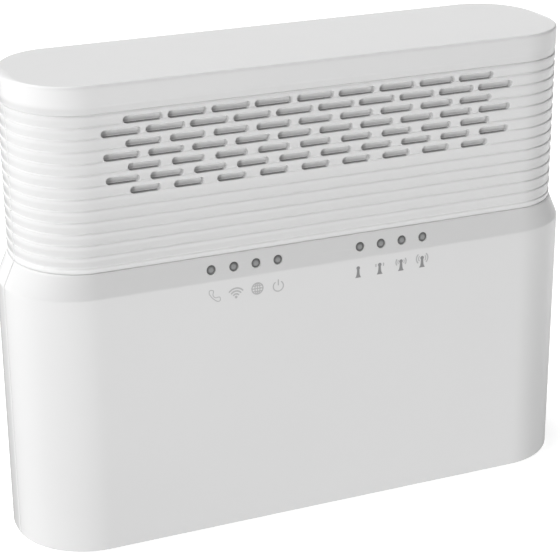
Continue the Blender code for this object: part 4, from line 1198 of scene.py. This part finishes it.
def make_socket(name, node, mouth, contacts, pitch):
    low, high = cad(node)
    x, face = (low[0] + high[0]) / 2, high[1]
    body = block(name, low, high, "Y", 0.5, 0.25)
    for i, (half, top, bottom) in enumerate(mouth):
        outline = rounded_rect(half, (top - bottom) / 2, 0.35, 4,
                               (x, PORT_Z + (top + bottom) / 2))
        cut = bmesh.new()
        prism_into(cut, outline, "Y", face - SOCKET_DEPTH + 0.4 * i, face + 1.0 + 0.4 * i,
                   0.3 - 0.06 * i, face)
        carve(body, cut)
    finish(body, "jack_plastic", node, angle=30)
    # spring contacts: down from the roof of the mouth towards its back
    wires = bmesh.new()
    roof = PORT_Z + mouth[0][1]
    path = soften([(face - 1.2, roof + 0.1, 0), (face - 2.0, roof - 0.55, 0.8),
                   (face - 8.5, roof - 3.3, 0.8), (face - 9.6, roof - 3.4, 0.8),
                   (face - SOCKET_DEPTH - 0.3, roof - 2.3, 0)])
    left, right = stroke_sides(path, [WIRE_HALF] * len(path))
    for i in range(contacts):
        wire_x = x + (i - (contacts - 1) / 2) * pitch
        x_low, x_high = wire_x - WIRE_HALF_X, wire_x + WIRE_HALF_X
        loft_into(wires, [[(x_low, *one), (x_high, *one), (x_high, *two), (x_low, *two)]
                          for one, two in zip(left, right)])
    finish(new_object(name + "_contacts", wires), "contact_gold", angle=40)


def make_power_jack():
    low, high = cad("power_socket")
    jack = block("power_jack", low, high, "Y", 0.6, 0.25)
    bore = bmesh.new()
    prism_into(bore, circle(DC_X, PORT_Z, 3.2, 56), "Y", 8.0, 19.0, 0.35, high[1])
    carve(jack, bore)
    finish(jack, "jack_plastic", "power_socket", angle=30)
    profile = soften([(0, 6.2, 0), (1.0, 6.2, 0.1), (1.0, 15.6, 0.5), (0.55, 16.0, 0.3),
                      (0, 16.0, 0)], 5)
    pin = turned("power_jack_pin", profile, (DC_X, 0, PORT_Z), "Y", 40)
    finish(pin, "contact_tin")
    # thin tube that lines the bore: radius, y
    sleeve = bmesh.new()
    loft_into(sleeve, [ring_at(circle(DC_X, PORT_Z, radius), "Y", y) for radius, y in (
        (3.16, 8.2), (3.16, 15.4), (3.06, 15.55), (2.96, 15.4), (2.96, 8.2))], looped=True)
    finish(new_object("power_jack_sleeve", sleeve), "contact_tin")


make_socket("network_jack_1", "network_socket_1", LAN_MOUTH, contacts=8, pitch=1.02)
make_socket("network_jack_2", "network_socket_2", LAN_MOUTH, contacts=8, pitch=1.02)
make_socket("telephone_jack", "telephone_socket", PHONE_MOUTH, contacts=4, pitch=1.27)
make_power_jack()

# ------------------------------------------------------------------ buttons
# radius, distance out from the panel's face, rounding
POWER_KEY = ((0, 2.35, 0), (2.4, 2.42, 0.6), (3.45, 2.6, 0.45), (4.2, 2.35, 0.45),
             (4.2, -1.8, 0.05), (5.0, -1.8, 0.2), (5.0, -3.1, 0.2), (1.5, -3.1, 0.1),
             (1.5, -7.0, 0.2), (0, -7.0, 0))
PAIRING_KEY = ((0, 1.55, 0), (1.6, 1.58, 0.4), (2.2, 1.7, 0.3), (2.8, 1.5, 0.35),
               (2.8, -1.8, 0.05), (3.5, -1.8, 0.2), (3.5, -3.1, 0.2), (1.0, -3.1, 0.1),
               (1.0, -10.3, 0.2), (0, -10.3, 0))
RESET_KEY = ((0, -1.9, 0), (1.6, -1.9, 0.15), (1.6, -2.9, 0.15), (0.8, -2.9, 0.05),
             (0.8, -10.1, 0.15), (0, -10.1, 0))


def make_key(name, node, body, material, x, profile, steps, segments):
    key = turned(name, soften(profile, steps), (x, PANEL_OUT, PORT_Z), "Y", segments)
    finish(key, material, node, body=body, angle=30)


def make_power_mark():
    mesh = bmesh.new()
    for i, shape in enumerate(SYMBOLS["power"]):
        ink_into(mesh, shape, (POWER_X, PORT_Z), PANEL_OUT + 2.30, PANEL_OUT + 2.47 + 0.002 * i,
                 size=0.85, mirror=-1.0)
    finish(new_object("power_key_mark", mesh), "label_film", body="power_key", angle=40)


make_key("power_key_cap", "power_button", "power_key", "button_plastic", POWER_X,
         POWER_KEY, steps=5, segments=72)
make_power_mark()
make_key("pairing_key_cap", "pairing_button", "pairing_key", "button_plastic", PAIR_X,
         PAIRING_KEY, steps=5, segments=64)
make_key("reset_plunger", "reset_pin", "reset_key", "switch_plastic", RESET_X,
         RESET_KEY, steps=3, segments=40)

# ------------------------------------------------------------------ SIM card
card_low, card_high = cad("sim_card")


def card_outline(inset, corner=1.0, cut=3.0):
    """Card with its upper inner corner cut off; across runs from the inner end."""
    length, half = card_high[0] - card_low[0], (card_high[2] - card_low[2]) / 2
    radius = corner - inset
    return (arc((length - corner, half - corner), radius, 0.0, QUARTER, 6)
            + [(cut + inset * 0.4, half - inset), (inset, half - cut - inset * 0.4)]
            + arc((corner, corner - half), radius, 2 * QUARTER, QUARTER, 6)
            + arc((length - corner, corner - half), radius, 3 * QUARTER, QUARTER, 6))


def make_card(edge=0.08):
    levels = ((edge, card_low[1]), (0.0, card_low[1] + edge), (0.0, card_high[1] - edge),
              (edge, card_high[1]))
    card = loft("sim_blank", [
        [(card_low[0] + across, y, SIM_Z + up) for across, up in card_outline(inset)]
        for inset, y in levels])
    finish(card, "sim_plastic", "sim_card", body="card", angle=30)
    pads = bmesh.new()
    y = card_low[1]
    for i in range(4):
        for j in range(2):
            x, z = card_low[0] + 3.5 + 5.2 * j, SIM_Z - 5.4 + 2.75 * i
            block_into(pads, (x, y - 0.03, z), (x + 4.8, y + 0.02, z + 2.45), "Y", 0.4, 0.015,
                       3, 1)
    finish(new_object("sim_contact_pads", pads), "contact_gold", body="card", angle=40)


make_card()


# ------------------------------------------------------------------ rating label, left blank
def make_label():
    low, high = cad("rating_label")
    finish(block("blank_label", low, high, "Y", 1.2, 0.05, 8), "label_film", "rating_label")
    rules = bmesh.new()
    border = ribbon(rounded_rect(28.6, 10.6, 0.8, 6), 0.22, True)
    ink_into(rules, border, (0, LABEL_Z), high[1] - 0.01, high[1] + 0.012)
    for x in (-14.0, 14.0):
        field = ribbon(rounded_rect(13.2, 9.0, 0.5, 5, (x, 0.0)), 0.15, True)
        ink_into(rules, field, (0, LABEL_Z), high[1] - 0.01, high[1] + 0.011)
    finish(new_object("label_rules", rules), "print_grey", angle=40)


make_label()


# ------------------------------------------------------------------ carried-over nodes
def dress_carried_nodes():
    """Materials and softened edges for the visible CAD pieces."""
    slot_of = {row["node"]: row["material_slot"] for row in frame["record"].get("subparts", [])}
    for name, obj in frame["nodes"].items():
        slot = slot_of.get(name)
        if obj.hide_render or slot not in MAT:
            continue
        obj.data.materials.clear()
        obj.data.materials.append(MAT[slot])
        weld = obj.modifiers.new("weld", "WELD")
        weld.merge_threshold = 0.000005
        if not name.startswith("antenna_lead"):
            edge = obj.modifiers.new("edges", "BEVEL")
            edge.width = 0.00012
            edge.segments = 2
            edge.limit_method = "ANGLE"
            edge.angle_limit = math.radians(40)
            edge.use_clamp_overlap = True


dress_carried_nodes()


# ------------------------------------------------------------------ floor
def floor_paper():
    """Pale paper that can't be seen from below."""
    shader = new_material("floor_paper")
    paper = shader.noise(shader.coords(), scale=30.0, detail=4.0)
    shader.surface({"Base Color": shader.fade(paper, 0.90, 0.92), "Roughness": 0.9,
                    "Specular IOR Level": 0.1, "Emission Color": (1, 1, 1, 1),
                    "Emission Strength": 0.45})
    sight = shader.xyz(shader.add("NewGeometry").outputs["Incoming"])
    from_above = shader.calc("GREATER_THAN", sight["Z"], 0.0)
    clear = shader.add("BsdfTransparent").outputs[0]
    either = shader.add("MixShader", {0: from_above, 1: clear, 2: shader.bsdf.outputs[0]})
    output = next(n for n in shader.tree.nodes if n.type == "OUTPUT_MATERIAL")
    shader.feed(output.inputs["Surface"], either.outputs[0])


def make_floor(half=3000.0, cells=24, z=-0.02):
    mesh = bmesh.new()
    stations = [-half + 2 * half * i / cells for i in range(cells + 1)]
    grid = [add_ring(mesh, [(x, y, z) for y in stations]) for x in stations]
    for i in range(cells):
        for j in range(cells):
            mesh.faces.new((grid[i][j], grid[i + 1][j], grid[i + 1][j + 1], grid[i][j + 1]))
    floor = new_object("floor", mesh)
    floor_paper()
    floor.data.materials.append(MAT["floor_paper"])
    floor.visible_diffuse = False
    floor.visible_glossy = False
    floor.visible_shadow = False


make_floor()

# ------------------------------------------------------------------ light
scene = bpy.context.scene
scene.view_settings.view_transform = "Standard"
scene.view_settings.look = "None"
scene.view_settings.exposure = 0.0
scene.view_settings.gamma = 1.0

# studio surround: strength by height of the direction (Z of its unit vector) for each side
ELEVATIONS = (-1.0, -0.85, -0.65, -0.5, -0.35, -0.2, -0.05, 0.1, 0.3, 0.5, 0.75, 1.0)
SURROUND = (    # direction of the side along X, along Y, strengths
    # front
    (0.0, -1.0, (1.80, 0.00, 0.00, 2.98, 3.61, 0.00, 0.00, 0.00, 0.00, 0.00, 0.00, 1.42)),
    # left
    (-1.0, 0.0, (1.83, 0.52, 0.00, 0.90, 2.36, 1.75, 0.62, 0.26, 1.17, 2.68, 3.24, 1.68)),
    # right
    (1.0, 0.0, (1.87, 1.17, 0.31, 0.36, 1.45, 0.96, 0.00, 0.00, 0.25, 0.00, 0.05, 1.73)),
    # back
    (0.0, 1.0, (1.85, 0.92, 0.30, 0.06, 0.22, 0.67, 1.36, 1.35, 0.11, 0.13, 1.04, 1.89)),
)
TOP_LEVEL = 4.0                 # brings the strengths into the range of a colour ramp
STUDIO_LEVEL = 1.28


def build_world():
    """The surround lights the object; the camera sees plain white."""
    world = bpy.data.worlds.new("studio")
    scene.world = world
    world.use_nodes = True
    world.node_tree.nodes.clear()
    shader = Shader(world.node_tree)
    calc = shader.calc
    sight = shader.xyz(shader.add("TexCoord").outputs["Generated"])
    height = calc("MULTIPLY_ADD", sight["Z"], 0.5, 0.5)
    flat_squared = calc("SUBTRACT", 1.0, calc("MULTIPLY", sight["Z"], sight["Z"]))
    flat = calc("SQRT", calc("MAXIMUM", flat_squared, 0.0001))
    unit_x, unit_y = calc("DIVIDE", sight["X"], flat), calc("DIVIDE", sight["Y"], flat)
    total = None
    for side_x, side_y, strengths in SURROUND:
        facing = calc("ADD", calc("MULTIPLY", unit_x, side_x), calc("MULTIPLY", unit_y, side_y))
        lobe = calc("POWER", calc("MAXIMUM", facing, 0.0), 2.0)
        levels = shader.ramp(height, [((z + 1) / 2, strength / TOP_LEVEL)
                                      for z, strength in zip(ELEVATIONS, strengths)])
        part = calc("MULTIPLY", lobe, levels)
        total = part if total is None else calc("ADD", total, part)
    light = shader.add("Background",
                       {"Strength": calc("MULTIPLY", total, TOP_LEVEL * STUDIO_LEVEL)})
    seen = shader.add("Background", {"Strength": 1.0, "Color": (1, 1, 1, 1)})
    by_camera = shader.add("LightPath").outputs["Is Camera Ray"]
    pick = shader.add("MixShader", {0: by_camera, 1: light.outputs[0], 2: seen.outputs[0]})
    shader.add("OutputWorld", {"Surface": pick.outputs[0]})


build_world()

# ------------------------------------------------------------------ camera
# place in metres, and the camera's own axes in the frame
CAMERA_PLACE = (-0.201086, -0.472768, 0.270410)
CAMERA_RIGHT = (0.920766, -0.390052, -0.007037)
CAMERA_UP = (0.149470, 0.336067, 0.929902)
CAMERA_BACK = (-0.360345, -0.857274, 0.367740)


def make_camera():
    data = bpy.data.cameras.new("camera")
    camera = bpy.data.objects.new("camera", data)
    scene.collection.objects.link(camera)
    axes = Matrix((CAMERA_RIGHT, CAMERA_UP, CAMERA_BACK)).transposed().to_4x4()
    camera.matrix_world = Matrix.Translation(Vector(CAMERA_PLACE)) @ axes
    data.sensor_width = 36.0
    data.lens = 115.128835714
    data.shift_x = -0.00312321429
    data.shift_y = 0.00147678571
    data.clip_start = 0.01
    data.clip_end = 20.0
    scene.camera = camera


make_camera()
